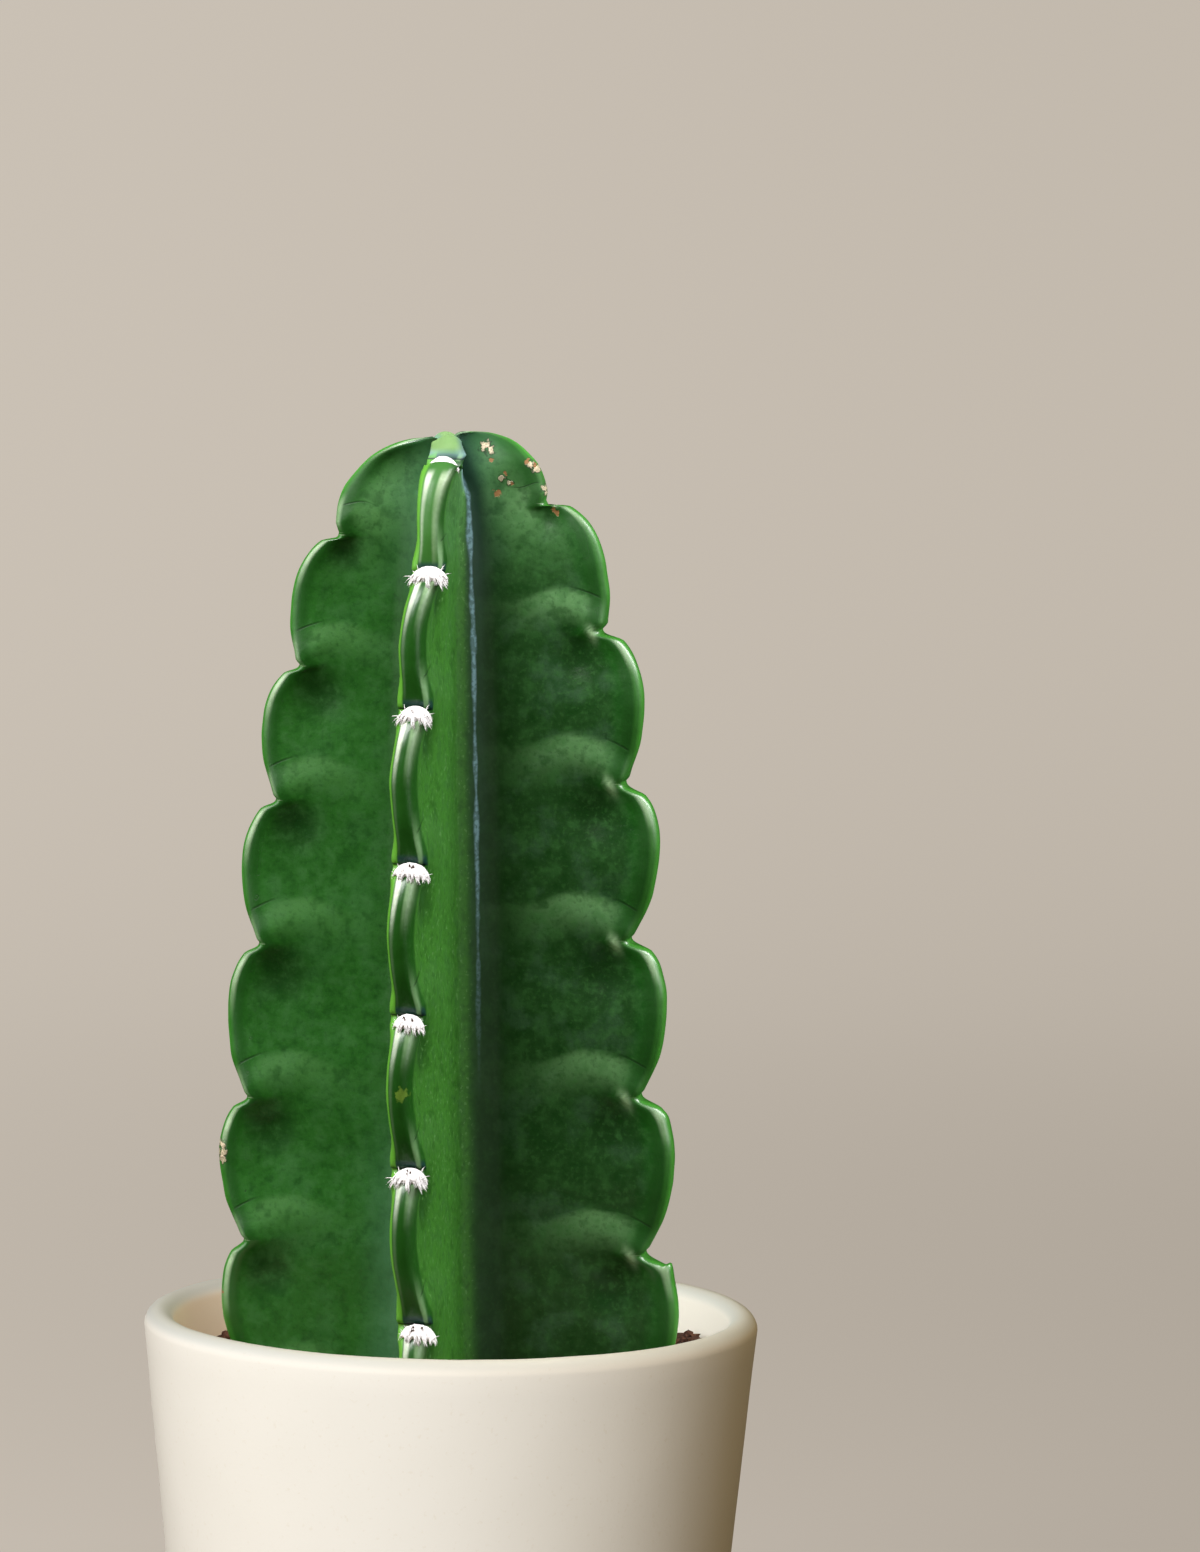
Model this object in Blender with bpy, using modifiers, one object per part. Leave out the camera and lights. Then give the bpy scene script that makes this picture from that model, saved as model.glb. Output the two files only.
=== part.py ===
"""Potted cereus: a four-ribbed columnar cactus in potting mix, in a plain tapered ceramic pot.

Metres, +Z up. The origin lies on the surface that the pot stands on, under the pot's axis.
The front is -Y. Design values are in millimetres and are turned into metres as a mesh is made.
"""

import math
from dataclasses import dataclass

import bmesh
import bpy
import numpy as np
from mathutils import Matrix, Vector, noise

MM = 0.001

# Pot
POT_HEIGHT = 140.0
RIM_RADIUS = 75.0
WALL = 7.2
WALL_TAPER = 0.098  # the wall draws in by this much for each millimetre down
FOOT_ROUNDING = 4.0
FOOT_RING_WIDTH = 8.0
FOOT_RECESS = 2.0
FLOOR_TOP = 9.0
FLOOR_ROUNDING = 6.0
DRAIN_RADIUS = 7.0
TURNED_STEPS = 56

# Potting mix
CLEARANCE = 0.3
SOIL_DEPTH = 12.5  # from the top of the rim down to the mix
SOIL_RINGS = 13
CRUMB_SIZE = 7.0
CRUMB_HEIGHT = 1.5

# Stem: heights are told as a depth below the crown, the highest point of the ribs
CROWN_HEIGHT = 354.5
BASE_DEPTH = 250.0
BASE_RADIUS = 50.0
LOBE_RISE = 0.56
LOBE_FALL = 0.93
CROWN_RISE = 0.65
CROWN_FALL = 0.7
MARGIN_HALF_WIDTH = 4.0
MARGIN_TAPER = 0.45  # a lobe is wider by half of this share at its shoulder, and narrower at its foot
MARGIN_DEPTH = 5.5
MARGIN_SQUARENESS = 2.4
CORE_RADIUS = 13.2
CORE_CROWN_RADIUS = 6.0
CORE_DEPTH = 40.0
CROWN_DIP = 3.0
VALLEY_SINK = 7.0
FLANK_THICKENING = 0.05
VALLEY_ROUNDING = 1.1
FRONT_AZIMUTH = -101.5  # degrees anticlockwise from +X: just left of straight at the viewer
CROWN_TWIST = 8.5
CROWN_TWIST_DEPTH = 35.0
BASE_TWIST = 2.5
LEAN = -0.0185
CREST_SWAY = 0.6


@dataclass(frozen=True)
class Rib:
    """A rib's shape. A place of 1 is one step of the spiral of areoles, which the ribs share."""

    turn: float  # degrees from the front rib
    young_bulge: float  # of the lobe at the crown
    bulge: float  # of the other lobes
    first: float  # place of the first notch
    depths: tuple  # of the notches
    radii: tuple  # of the notches, from the axis


# A side rib's notches fall between those of its neighbours
RIBS = (
    Rib(
        turn=0.0,
        young_bulge=4.0,
        bulge=7.2,
        first=0.0,
        depths=(6.5, 33.0, 65.0, 101.5, 137.0, 173.5, 210.5),
        radii=(16.0, 31.5, 40.5, 46.0, 48.5, 49.5, 50.0),
    ),
    Rib(
        turn=90.0,
        young_bulge=8.8,
        bulge=8.0,
        first=0.5,
        depths=(16.9, 49.6, 85.8, 122.8, 160.6, 198.8, 237.0),
        radii=(24.5, 38.0, 43.4, 45.0, 47.0, 47.8, 49.0),
    ),
    Rib(
        turn=180.0,
        young_bulge=4.0,
        bulge=7.2,
        first=0.0,
        depths=(5.5, 31.0, 63.0, 99.0, 135.0, 172.0, 209.0),
        radii=(15.0, 31.0, 40.0, 45.5, 48.0, 49.5, 50.0),
    ),
    Rib(
        turn=270.0,
        young_bulge=9.6,
        bulge=7.2,
        first=0.5,
        depths=(25.5, 57.6, 90.6, 126.0, 164.0, 199.1, 235.5),
        radii=(26.8, 36.8, 43.0, 47.5, 50.8, 51.6, 51.0),
    ),
)
FIRST_PLACE = -1.0
LAST_PLACE = 7.0

# Relief on the flanks: above each notch an arched swelling starts, and below it a dimple sinks
MARGIN_RISE = 5.0  # how far the lobes' crests stand beyond their notches, for placing the relief
ARCH_START = 8.0
ARCH_RISE = 6.7
ARCH_PEAK = 16.0
SWELL = 1.1
SWELL_REACH = 5.5
DIMPLE = 1.3
DIMPLE_INSET = 10.0
DIMPLE_DROP = 6.5
DIMPLE_SIZE = 3.8

# Mesh of the stem
ROWS_PER_LOBE = 7
ROW_GATHERING = 0.5  # rows stand closer by this share at a notch
MARGIN_STEPS = 2
FLANK_STEPS = 5

# Areoles: cushions of white wool seated in the notches
TUFT_POINTS = 8
TUFT_HALF_WIDTH = 4.5
TUFT_HALF_LENGTH = 2.6
TUFT_DOME = 0.9
TUFT_ROOT = 2.2
TUFT_RAGGEDNESS = 0.2
TUFT_PLACE = 0.045  # share of a lobe below the notch
AREOLE_SPAN = 0.02  # share of a lobe over which the crest's slope is taken
YOUNG_TUFT_SCALE = 0.75

SEED = 7


def clear_scene():
    for obj in list(bpy.data.objects):
        bpy.data.objects.remove(obj, do_unlink=True)


def new_collection(name):
    collection = bpy.data.collections.new(name)
    bpy.context.scene.collection.children.link(collection)
    return collection


def new_material(name, colour, roughness):
    material = bpy.data.materials.new(name)
    material.use_nodes = True
    shader = material.node_tree.nodes["Principled BSDF"]
    shader.inputs["Base Color"].default_value = (*colour, 1.0)
    shader.inputs["Roughness"].default_value = roughness
    shader.inputs["Metallic"].default_value = 0.0
    return material


def new_object(name, mesh, collection, *materials):
    obj = bpy.data.objects.new(name, mesh)
    collection.objects.link(obj)
    for material in materials:
        mesh.materials.append(material)
    return obj


def apply_modifiers(obj):
    """Turns what the modifiers make of an object into its own mesh."""
    bpy.context.view_layer.update()
    graph = bpy.context.evaluated_depsgraph_get()
    mesh = bpy.data.meshes.new_from_object(obj.evaluated_get(graph))
    obj.modifiers.clear()
    obj.data = mesh


def arc(centre_radius, centre_height, radius, first, last, steps):
    """Points of a round stretch of a turned profile, between two angles in degrees."""
    return [
        (
            centre_radius + radius * math.cos(math.radians(angle)),
            centre_height + radius * math.sin(math.radians(angle)),
        )
        for angle in np.linspace(first, last, steps + 1)
    ]


def wall_radius(height):
    """Outer radius of the pot's straight wall at a height."""
    return RIM_RADIUS - WALL_TAPER * (POT_HEIGHT - WALL / 2 - height)


def turned(name, profile, closed, collection, material):
    """A body of revolution from a profile of (radius, height) that runs down its outer side."""
    mesh = bpy.data.meshes.new(name)
    edges = [(i, i + 1) for i in range(len(profile) - 1)]
    if closed:
        edges.append((len(profile) - 1, 0))
    mesh.from_pydata([(r * MM, 0, z * MM) for r, z in profile], edges, [])
    obj = new_object(name, mesh, collection, material)
    screw = obj.modifiers.new("turn", "SCREW")
    screw.axis = "Z"
    screw.angle = math.tau
    screw.steps = screw.render_steps = TURNED_STEPS
    screw.use_merge_vertices = True
    screw.merge_threshold = 0.00005
    screw.use_smooth_shade = True
    return obj


def pot_profile():
    """Half section of the pot: down the outside, in under the foot, up the drain and back up inside."""
    lip = WALL / 2
    foot_radius = wall_radius(0)
    inner_floor_radius = wall_radius(FLOOR_TOP) - WALL
    ring_inner = foot_radius - FOOT_ROUNDING - FOOT_RING_WIDTH
    return [
        *arc(RIM_RADIUS - lip, POT_HEIGHT - lip, lip, 180, 0, 8),
        *arc(foot_radius - FOOT_ROUNDING, FOOT_ROUNDING, FOOT_ROUNDING, 0, -90, 3),
        (ring_inner, 0),
        (ring_inner - FOOT_RECESS, FOOT_RECESS),
        (DRAIN_RADIUS, FOOT_RECESS),
        (DRAIN_RADIUS, FLOOR_TOP),
        *arc(inner_floor_radius - FLOOR_ROUNDING, FLOOR_TOP + FLOOR_ROUNDING, FLOOR_ROUNDING, -90, 0, 3),
    ]


def soil_height(x, y):
    """Height of the crumbly top of the mix at a place, in millimetres."""
    spot = Vector((x / CRUMB_SIZE, y / CRUMB_SIZE, SEED))
    nearest = noise.voronoi(spot)[0][0]
    roll = noise.noise(Vector((x / 30, y / 30, SEED)))
    return POT_HEIGHT - SOIL_DEPTH + CRUMB_HEIGHT * (0.5 - nearest) + roll


def soil_profile():
    """Half section of the mix, which fills the pot to just below the rim."""
    top = POT_HEIGHT - SOIL_DEPTH
    bottom = FLOOR_TOP + CLEARANCE
    reach = WALL + CLEARANCE
    corner = FLOOR_ROUNDING
    top_radius = wall_radius(top) - reach
    floor_radius = wall_radius(FLOOR_TOP) - reach
    return [
        *[(top_radius * i / SOIL_RINGS, top) for i in range(SOIL_RINGS + 1)],
        *arc(floor_radius - corner, bottom + corner, corner, 0, -90, 3),
        (0, bottom),
    ]


def core_radius(depth):
    """Radius of the valleys between the ribs."""
    grown = 1 - np.exp(-np.asarray(depth, float) / CORE_DEPTH)
    return CORE_CROWN_RADIUS + (CORE_RADIUS - CORE_CROWN_RADIUS) * grown


def rib_table(rib):
    """Places along a rib, with the depth and radius of its crest at each notch and both ends."""
    places = [FIRST_PLACE, *[rib.first + i for i in range(len(rib.depths))], LAST_PLACE]
    depths = [CROWN_DIP, *rib.depths, BASE_DEPTH]
    return np.array(places), np.array(depths), np.array([0.0, *rib.radii, BASE_RADIUS])


def crest(rib, place):
    """Radius and depth of a rib's crest, which bulges from notch to notch, and the share of the lobe."""
    places, depths, radii = rib_table(rib)
    lobe = np.clip(np.searchsorted(places, place, side="right") - 1, 0, len(places) - 2)
    share = np.clip((place - places[lobe]) / (places[lobe + 1] - places[lobe]), 0, 1)
    run = radii[lobe + 1] - radii[lobe]
    drop = depths[lobe + 1] - depths[lobe]
    length = np.hypot(run, drop)
    radius = radii[lobe] + run * share
    depth = depths[lobe] + drop * share
    rise = np.where(lobe == 0, CROWN_RISE, LOBE_RISE)
    fall = np.where(lobe == 0, CROWN_FALL, LOBE_FALL)
    peak = rise / (rise + fall)
    outline = (share / peak) ** rise * ((1 - share) / (1 - peak)) ** fall
    bulge = np.where(lobe == 0, rib.young_bulge, rib.bulge) * outline
    return radius + bulge * drop / length, depth - bulge * run / length, share


def valley(place):
    """Radius and depth of the valleys, which sink away from the crown."""
    mean = np.mean([np.interp(place, *rib_table(rib)[:2]) for rib in RIBS], axis=0)
    above = np.clip(place - FIRST_PLACE, 0, 1)
    sunk = mean + VALLEY_SINK * above * np.exp(-mean / 30)
    depth = BASE_DEPTH + (sunk - BASE_DEPTH) * np.clip((LAST_PLACE - place) / 0.5, 0, 1)
    return core_radius(depth) * above**0.8, depth


def gathered(rib, place):
    """Shifts evenly spaced places so that the rows of a rib gather at its notches."""
    phase = math.tau * (place - rib.first)
    inside = np.clip((place - FIRST_PLACE) * 2, 0, 1) * np.clip((LAST_PLACE - place) * 2, 0, 1)
    return place - ROW_GATHERING * inside * np.sin(phase) / math.tau


def twist(depth):
    """Turn of the ribs about the axis, in degrees: they swing a little at the crown and the foot."""
    crown = CROWN_TWIST * np.exp(-((depth / CROWN_TWIST_DEPTH) ** 2))
    foot = BASE_TWIST * np.clip((depth - 170) / 50, 0, 1)
    return crown + foot


def relief(rib, along, depth):
    """Swelling and dimples on a rib's flank, at a distance from the axis and a depth."""
    total = np.zeros_like(depth)
    for before, notch, radius in zip((CROWN_DIP, *rib.depths), rib.depths, rib.radii):
        size = min(1.0, (notch - before) / 36)
        above = (notch - depth) / size
        side = (radius + MARGIN_RISE - along) / size
        arch = ARCH_START + ARCH_RISE * (1 - ((side - ARCH_PEAK) / ARCH_PEAK) ** 2)
        below = np.clip(arch - above, 0, None)
        swell = SWELL * below / SWELL_REACH * np.exp(1 - below / SWELL_REACH)
        reach = np.clip(side / 6, 0, 1) * np.clip((34 - side) / 12, 0, 1)
        far = ((side - DIMPLE_INSET) ** 2 + (above + DIMPLE_DROP) ** 2) / DIMPLE_SIZE**2
        total += size * (swell * reach - DIMPLE * np.exp(-far))
    return total


def half_section(radius, half_width, valley_radius):
    """One flank's outline at a rib's crest, from its middle in to the valley: along, across, outward."""
    margin = np.minimum(MARGIN_DEPTH, 0.45 * radius)
    shoulder = radius - margin
    ends = np.stack([shoulder, half_width], -1)
    foot = valley_radius[:, None] * np.array([1.0, 1.0]) / math.sqrt(2)
    span = np.linalg.norm(ends - foot, axis=-1, keepdims=True)
    leave = span * np.array([-1.0, FLANK_THICKENING])
    arrive = VALLEY_ROUNDING * valley_radius[:, None] * np.array([-1.0, 1.0]) / math.sqrt(2)
    for step in range(MARGIN_STEPS):
        turn = math.pi / 2 * step / MARGIN_STEPS
        power = 2 / MARGIN_SQUARENESS
        yield shoulder + margin * math.cos(turn) ** power, half_width * math.sin(turn) ** power, 1.0
    for step in range(FLANK_STEPS + 1):
        t = step / FLANK_STEPS
        point = (2 * t**3 - 3 * t**2 + 1) * ends + (t**3 - 2 * t**2 + t) * leave
        point = point + (3 * t**2 - 2 * t**3) * foot + (t**3 - t**2) * arrive
        yield point[:, 0], point[:, 1], 1 - t


def half_rib(rib, place, side, inflate):
    """One flank of a rib at each place, from crest to valley: x, y and depth in millimetres."""
    crest_place = gathered(rib, place)
    radius, depth, share = crest(rib, crest_place)
    valley_radius, valley_depth = valley(place)
    young = np.clip(0.45 + radius / 45, 0, 1) * np.clip(radius / 6, 0, 1)
    half_width = MARGIN_HALF_WIDTH * young * (1 + MARGIN_TAPER * (0.5 - share))
    columns = []
    for along, across, outward in half_section(radius, half_width, valley_radius):
        level = valley_depth + (depth - valley_depth) * outward
        raised = relief(rib, along, level) * young * min(1, outward * 4) + inflate
        lateral = side * (across + raised * np.clip(across / 2, 0, 1))
        lateral = lateral + CREST_SWAY * np.cos(math.tau * (crest_place - rib.first)) * young * outward
        heading = np.radians(FRONT_AZIMUTH + rib.turn + twist(level))
        reach = along + inflate * (1.0 + (outward < 0.01))
        x = reach * np.cos(heading) - lateral * np.sin(heading)
        y = reach * np.sin(heading) + lateral * np.cos(heading)
        columns.append(np.stack([x, y, level], -1))
    return np.stack(columns, 1)


def stem_points(inflate=0.0):
    """The stem's skin as rows of points from the base to the crown, in metres."""
    lobes = LAST_PLACE - FIRST_PLACE
    place = LAST_PLACE - lobes * np.linspace(0, 1, round(lobes * ROWS_PER_LOBE) + 1)
    around = []
    for rib in RIBS:
        clockwise = half_rib(rib, place, -1, inflate)
        anticlockwise = half_rib(rib, place, 1, inflate)
        around += [clockwise[:, :0:-1], anticlockwise[:, :-1]]
    skin = np.concatenate(around, 1)
    height = CROWN_HEIGHT - skin[..., 2]
    height -= inflate * (place > LAST_PLACE - 1e-6)[:, None]
    skin[..., 0] += LEAN * (height - POT_HEIGHT)
    skin[..., 2] = height
    return skin * MM


def stem_mesh(name, inflate=0.0):
    """A flat grid rolled up round the axis, joined along its seam and closed at the base and crown."""
    skin = stem_points(inflate)
    rows, around = skin.shape[:2]
    bm = bmesh.new()
    bmesh.ops.create_grid(bm, x_segments=around, y_segments=rows - 1, size=0.5)
    for vert in bm.verts:
        column = round((vert.co.x + 0.5) * around) % around
        row = round((vert.co.y + 0.5) * (rows - 1))
        vert.co = skin[row, column]
    bmesh.ops.remove_doubles(bm, verts=bm.verts, dist=0.00002)
    base = [edge for edge in bm.edges if edge.is_boundary]
    bmesh.ops.contextual_create(bm, geom=base)
    bmesh.ops.triangulate(bm, faces=bm.faces)
    bmesh.ops.recalc_face_normals(bm, faces=bm.faces)
    mesh = bpy.data.meshes.new(name)
    bm.to_mesh(mesh)
    bm.free()
    mesh.shade_smooth()
    return mesh


def areole_frame(rib, place):
    """Where an areole sits on the crest, turned so that its own Z stands off the rib."""
    radius, depth, _ = crest(rib, place + np.array([-AREOLE_SPAN, 0, AREOLE_SPAN]))
    heading = math.radians(FRONT_AZIMUTH + rib.turn + twist(depth[1]))
    outward = Vector((math.cos(heading), math.sin(heading), 0))
    up = Vector((0, 0, 1))
    across = up.cross(outward)
    down = outward * (radius[2] - radius[0]) - up * (depth[2] - depth[0])
    normal = across.cross(-down).normalized()
    height = CROWN_HEIGHT - depth[1]
    sway = CREST_SWAY * math.cos(math.tau * (place - rib.first))
    centre = outward * radius[1] + across * sway + up * height
    centre.x += LEAN * (height - POT_HEIGHT)
    axes = Matrix((across, normal.cross(across), normal)).transposed().to_4x4()
    return Matrix.Translation(centre * MM) @ axes


def tuft_mesh(rng, scale):
    """One cushion of wool: a low dome whose rim is drawn out into ragged points."""
    bm = bmesh.new()
    bmesh.ops.create_cone(
        bm, cap_ends=True, segments=2 * TUFT_POINTS, radius1=1.0, radius2=0.55, depth=1.0
    )
    bmesh.ops.poke(bm, faces=[max(bm.faces, key=lambda face: face.calc_center_median().z)])
    for vert in bm.verts:
        angle = math.atan2(vert.co.y, vert.co.x)
        tip = round(angle / math.tau * 2 * TUFT_POINTS) % 2
        at_rim = vert.co.z < 0
        at_centre = vert.co.xy.length < 0.1
        spread = 1.0 + (TUFT_RAGGEDNESS * (0.5 + rng.random()) if at_rim and tip else 0.0)
        height = -TUFT_ROOT if at_rim else TUFT_DOME * (1.2 if at_centre else 0.8)
        vert.co.x *= TUFT_HALF_WIDTH * spread * scale
        vert.co.y *= TUFT_HALF_LENGTH * spread * scale
        vert.co.z = height * scale
    bmesh.ops.transform(bm, matrix=Matrix.Scale(MM, 4), verts=bm.verts)
    bmesh.ops.triangulate(bm, faces=bm.faces)
    bmesh.ops.recalc_face_normals(bm, faces=bm.faces)
    mesh = bpy.data.meshes.new("tuft")
    bm.to_mesh(mesh)
    bm.free()
    return mesh


def build_tufts(collection, wool):
    """An areole for each notch that stands clear of the mix."""
    rng = np.random.default_rng(SEED)
    visible = CROWN_HEIGHT - (POT_HEIGHT - SOIL_DEPTH) - 4.0
    for rib in RIBS:
        for index, depth in enumerate(rib.depths):
            if depth > visible:
                continue
            scale = YOUNG_TUFT_SCALE if depth < 10 else 1.0
            tuft = new_object("tuft", tuft_mesh(rng, scale), collection, wool)
            tuft.matrix_world = areole_frame(rib, rib.first + index + TUFT_PLACE)
    heart = new_object("tuft", tuft_mesh(rng, YOUNG_TUFT_SCALE), collection, wool)
    height = CROWN_HEIGHT - CROWN_DIP
    heart.location = Vector((LEAN * (height - POT_HEIGHT), 0, height)) * MM


def join_tufts(cactus, tufts):
    """Fuses the areoles with the stem that they grow from."""
    union = cactus.modifiers.new("areoles", "BOOLEAN")
    union.operation = "UNION"
    union.operand_type = "COLLECTION"
    union.collection = tufts
    union.solver = "EXACT"
    apply_modifiers(cactus)
    for tuft in list(tufts.objects):
        bpy.data.objects.remove(tuft, do_unlink=True)
    bpy.data.collections.remove(tufts)


def build_pot(parts):
    glaze = new_material("cream_ceramic", (0.84, 0.79, 0.69), 0.45)
    return turned("pot", pot_profile(), True, parts, glaze)


def build_cactus(parts):
    skin = new_material("cactus_skin", (0.07, 0.25, 0.05), 0.35)
    wool = new_material("areole_wool", (0.92, 0.9, 0.87), 0.95)
    cactus = new_object("cactus", stem_mesh("cactus"), parts, skin, wool)
    tufts = new_collection("areoles")
    build_tufts(tufts, wool)
    join_tufts(cactus, tufts)
    return cactus


def build_soil(parts, cutters):
    """The mix, with a hole of the stem's own section where the cactus stands."""
    mix = new_material("potting_mix", (0.1, 0.06, 0.04), 0.95)
    soil = turned("soil", soil_profile(), False, parts, mix)
    apply_modifiers(soil)
    rim = wall_radius(POT_HEIGHT - SOIL_DEPTH) - WALL - CLEARANCE
    for vert in soil.data.vertices:
        x, y, z = vert.co / MM
        if z > POT_HEIGHT - SOIL_DEPTH - 0.01 and math.hypot(x, y) < rim - 0.01:
            vert.co.z = soil_height(x, y) * MM
    cutter = new_object("stem_hole", stem_mesh("stem_hole", CLEARANCE), cutters)
    cutter.hide_render = True
    cutter.display_type = "WIRE"
    cut = soil.modifiers.new("stem_hole", "BOOLEAN")
    cut.operation = "DIFFERENCE"
    cut.object = cutter
    cut.solver = "EXACT"
    return soil


def main():
    clear_scene()
    parts = new_collection("potted_cereus")
    cutters = new_collection("cutters")
    build_pot(parts)
    build_cactus(parts)
    build_soil(parts, cutters)


main()
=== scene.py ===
# %% [markdown]
# # A potted cereus
#
# A columnar cactus with four deep, scalloped ribs stands in dark potting mix in a plain cream pot.
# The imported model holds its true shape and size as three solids: the pot, the mix and the cactus.
# This lesson gives each of them its finished surface in Blender. It goes from the outside in: the
# camera and the studio first, then the pot, the mix, the stem and last the wool on the stem.

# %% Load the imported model
import math
from dataclasses import dataclass

import bpy
import numpy as np
from mathutils import Matrix, Vector, noise


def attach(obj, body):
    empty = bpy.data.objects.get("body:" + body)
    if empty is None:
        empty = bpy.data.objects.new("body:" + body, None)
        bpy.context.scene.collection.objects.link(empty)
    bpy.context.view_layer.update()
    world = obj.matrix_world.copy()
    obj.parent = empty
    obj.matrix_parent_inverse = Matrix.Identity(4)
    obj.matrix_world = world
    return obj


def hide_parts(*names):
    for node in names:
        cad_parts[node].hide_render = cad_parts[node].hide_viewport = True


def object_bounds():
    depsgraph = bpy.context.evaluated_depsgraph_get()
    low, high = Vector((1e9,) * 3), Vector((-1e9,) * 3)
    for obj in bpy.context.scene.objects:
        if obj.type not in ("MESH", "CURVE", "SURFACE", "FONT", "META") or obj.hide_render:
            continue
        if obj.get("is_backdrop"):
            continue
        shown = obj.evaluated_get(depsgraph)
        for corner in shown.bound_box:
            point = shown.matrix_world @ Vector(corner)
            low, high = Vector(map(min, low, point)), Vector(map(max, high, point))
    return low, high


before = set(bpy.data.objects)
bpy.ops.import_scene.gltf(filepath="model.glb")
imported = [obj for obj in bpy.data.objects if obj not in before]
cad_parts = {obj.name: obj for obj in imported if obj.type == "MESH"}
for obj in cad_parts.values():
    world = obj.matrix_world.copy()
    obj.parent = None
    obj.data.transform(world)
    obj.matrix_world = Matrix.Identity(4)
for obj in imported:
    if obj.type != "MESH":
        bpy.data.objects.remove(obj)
solid_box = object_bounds()
print("nodes:", ", ".join(sorted(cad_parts)))

# %% [markdown]
# ## Small tools for modelling
#
# Blender's operators act on whatever is selected, and loading the model leaves its nodes selected.
# So every step starts by deselecting everything. A finished piece keeps its place in its mesh, with
# its object at the origin, so that patterns on its own coordinates stay where they were made.

# %% Tools for selecting and finishing
MM = 0.001
SEED = 11


def pick(*objects):
    """Selects these objects alone, the first of them active."""
    if bpy.context.mode != "OBJECT":
        bpy.ops.object.mode_set(mode="OBJECT")
    bpy.ops.object.select_all(action="DESELECT")
    for obj in objects:
        obj.select_set(True)
    bpy.context.view_layer.objects.active = objects[0] if objects else None


def added(name):
    """Names the primitive that was just added, with its place put into its mesh."""
    piece = bpy.context.active_object
    piece.name = piece.data.name = name
    pick(piece)
    bpy.ops.object.transform_apply(location=True, rotation=True, scale=True)
    return piece


def edit(piece):
    """Opens one piece in edit mode with all of it selected."""
    pick(piece)
    bpy.ops.object.mode_set(mode="EDIT")
    bpy.ops.mesh.select_all(action="SELECT")


def apply_modifiers(piece):
    """Makes a piece's modifiers part of its mesh, in their order."""
    pick(piece)
    for modifier in list(piece.modifiers):
        bpy.ops.object.modifier_apply(modifier=modifier.name)


def join(name, pieces):
    """Joins pieces into one, named and with its place in its mesh."""
    pick(*pieces)
    bpy.ops.object.join()
    return added(name)


def copy_of(piece, placed):
    """A copy with its own mesh, at a place given by a matrix."""
    twin = piece.copy()
    twin.data = piece.data.copy()
    twin.matrix_world = placed
    bpy.context.scene.collection.objects.link(twin)
    return twin


def triangles(piece):
    """How many triangles a piece has."""
    return sum(len(face.vertices) - 2 for face in piece.data.polygons)


# %% [markdown]
# ## A small language for materials
#
# A material is a graph of nodes, but a formula is easier to read than a graph. So the first class
# below wraps what a node gives out, and arithmetic on it adds the Math nodes that do the sum. The
# second adds every other kind of node through one method.

# %% Signals and graphs
class Signal:
    """What one node gives out."""

    def __init__(self, graph, socket):
        self.graph, self.socket = graph, socket

    def __add__(self, other):
        return self.graph.sum("ADD", self, other)

    def __sub__(self, other):
        return self.graph.sum("SUBTRACT", self, other)

    def __rsub__(self, other):
        return self.graph.sum("SUBTRACT", other, self)

    def __mul__(self, other):
        return self.graph.sum("MULTIPLY", self, other)

    __radd__ = __add__
    __rmul__ = __mul__


class Graph:
    """Nodes that feed one another."""

    def __init__(self, tree):
        self.tree = tree

    def node(self, kind, settings=None, values=None, output=0):
        """Adds a node, sets it, then feeds its sockets with numbers or signals."""
        node = self.tree.nodes.new(kind)
        for name, value in (settings or {}).items():
            setattr(node, name, value)
        for socket, value in (values or {}).items():
            self.feed(node.inputs[socket], value)
        return Signal(self, node.outputs[output])

    def feed(self, socket, value):
        """Links a signal to a socket, or sets the socket to a number or a colour."""
        if isinstance(value, Signal):
            self.tree.links.new(value.socket, socket)
        else:
            socket.default_value = value

    def sum(self, operation, first, second):
        """A sum on two numbers."""
        return self.node("ShaderNodeMath", {"operation": operation}, {0: first, 1: second})

    def measure(self, operation, first, second=(0, 0, 0)):
        """A number made from two places, such as their DISTANCE, or from one, such as its LENGTH."""
        return self.node("ShaderNodeVectorMath", {"operation": operation}, {0: first, 1: second}, "Value")

    def step(self, signal, low, high):
        """A soft step from 0 at low to 1 at high. With low above high it goes the other way."""
        return self.node(
            "ShaderNodeMapRange",
            {"interpolation_type": "SMOOTHSTEP"},
            {"Value": signal, "From Min": low, "From Max": high},
        )

    def mix(self, share, first, second):
        """One colour going over into another as the share goes from 0 to 1."""
        return self.node(
            "ShaderNodeMix", {"data_type": "RGBA"}, {0: share, 6: first, 7: second}, output=2
        )


# %% [markdown]
# A finish is such a graph with one Principled shader. What is the same all over is set on the shader
# itself, and the colour is built up by laying one colour over another.

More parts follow.
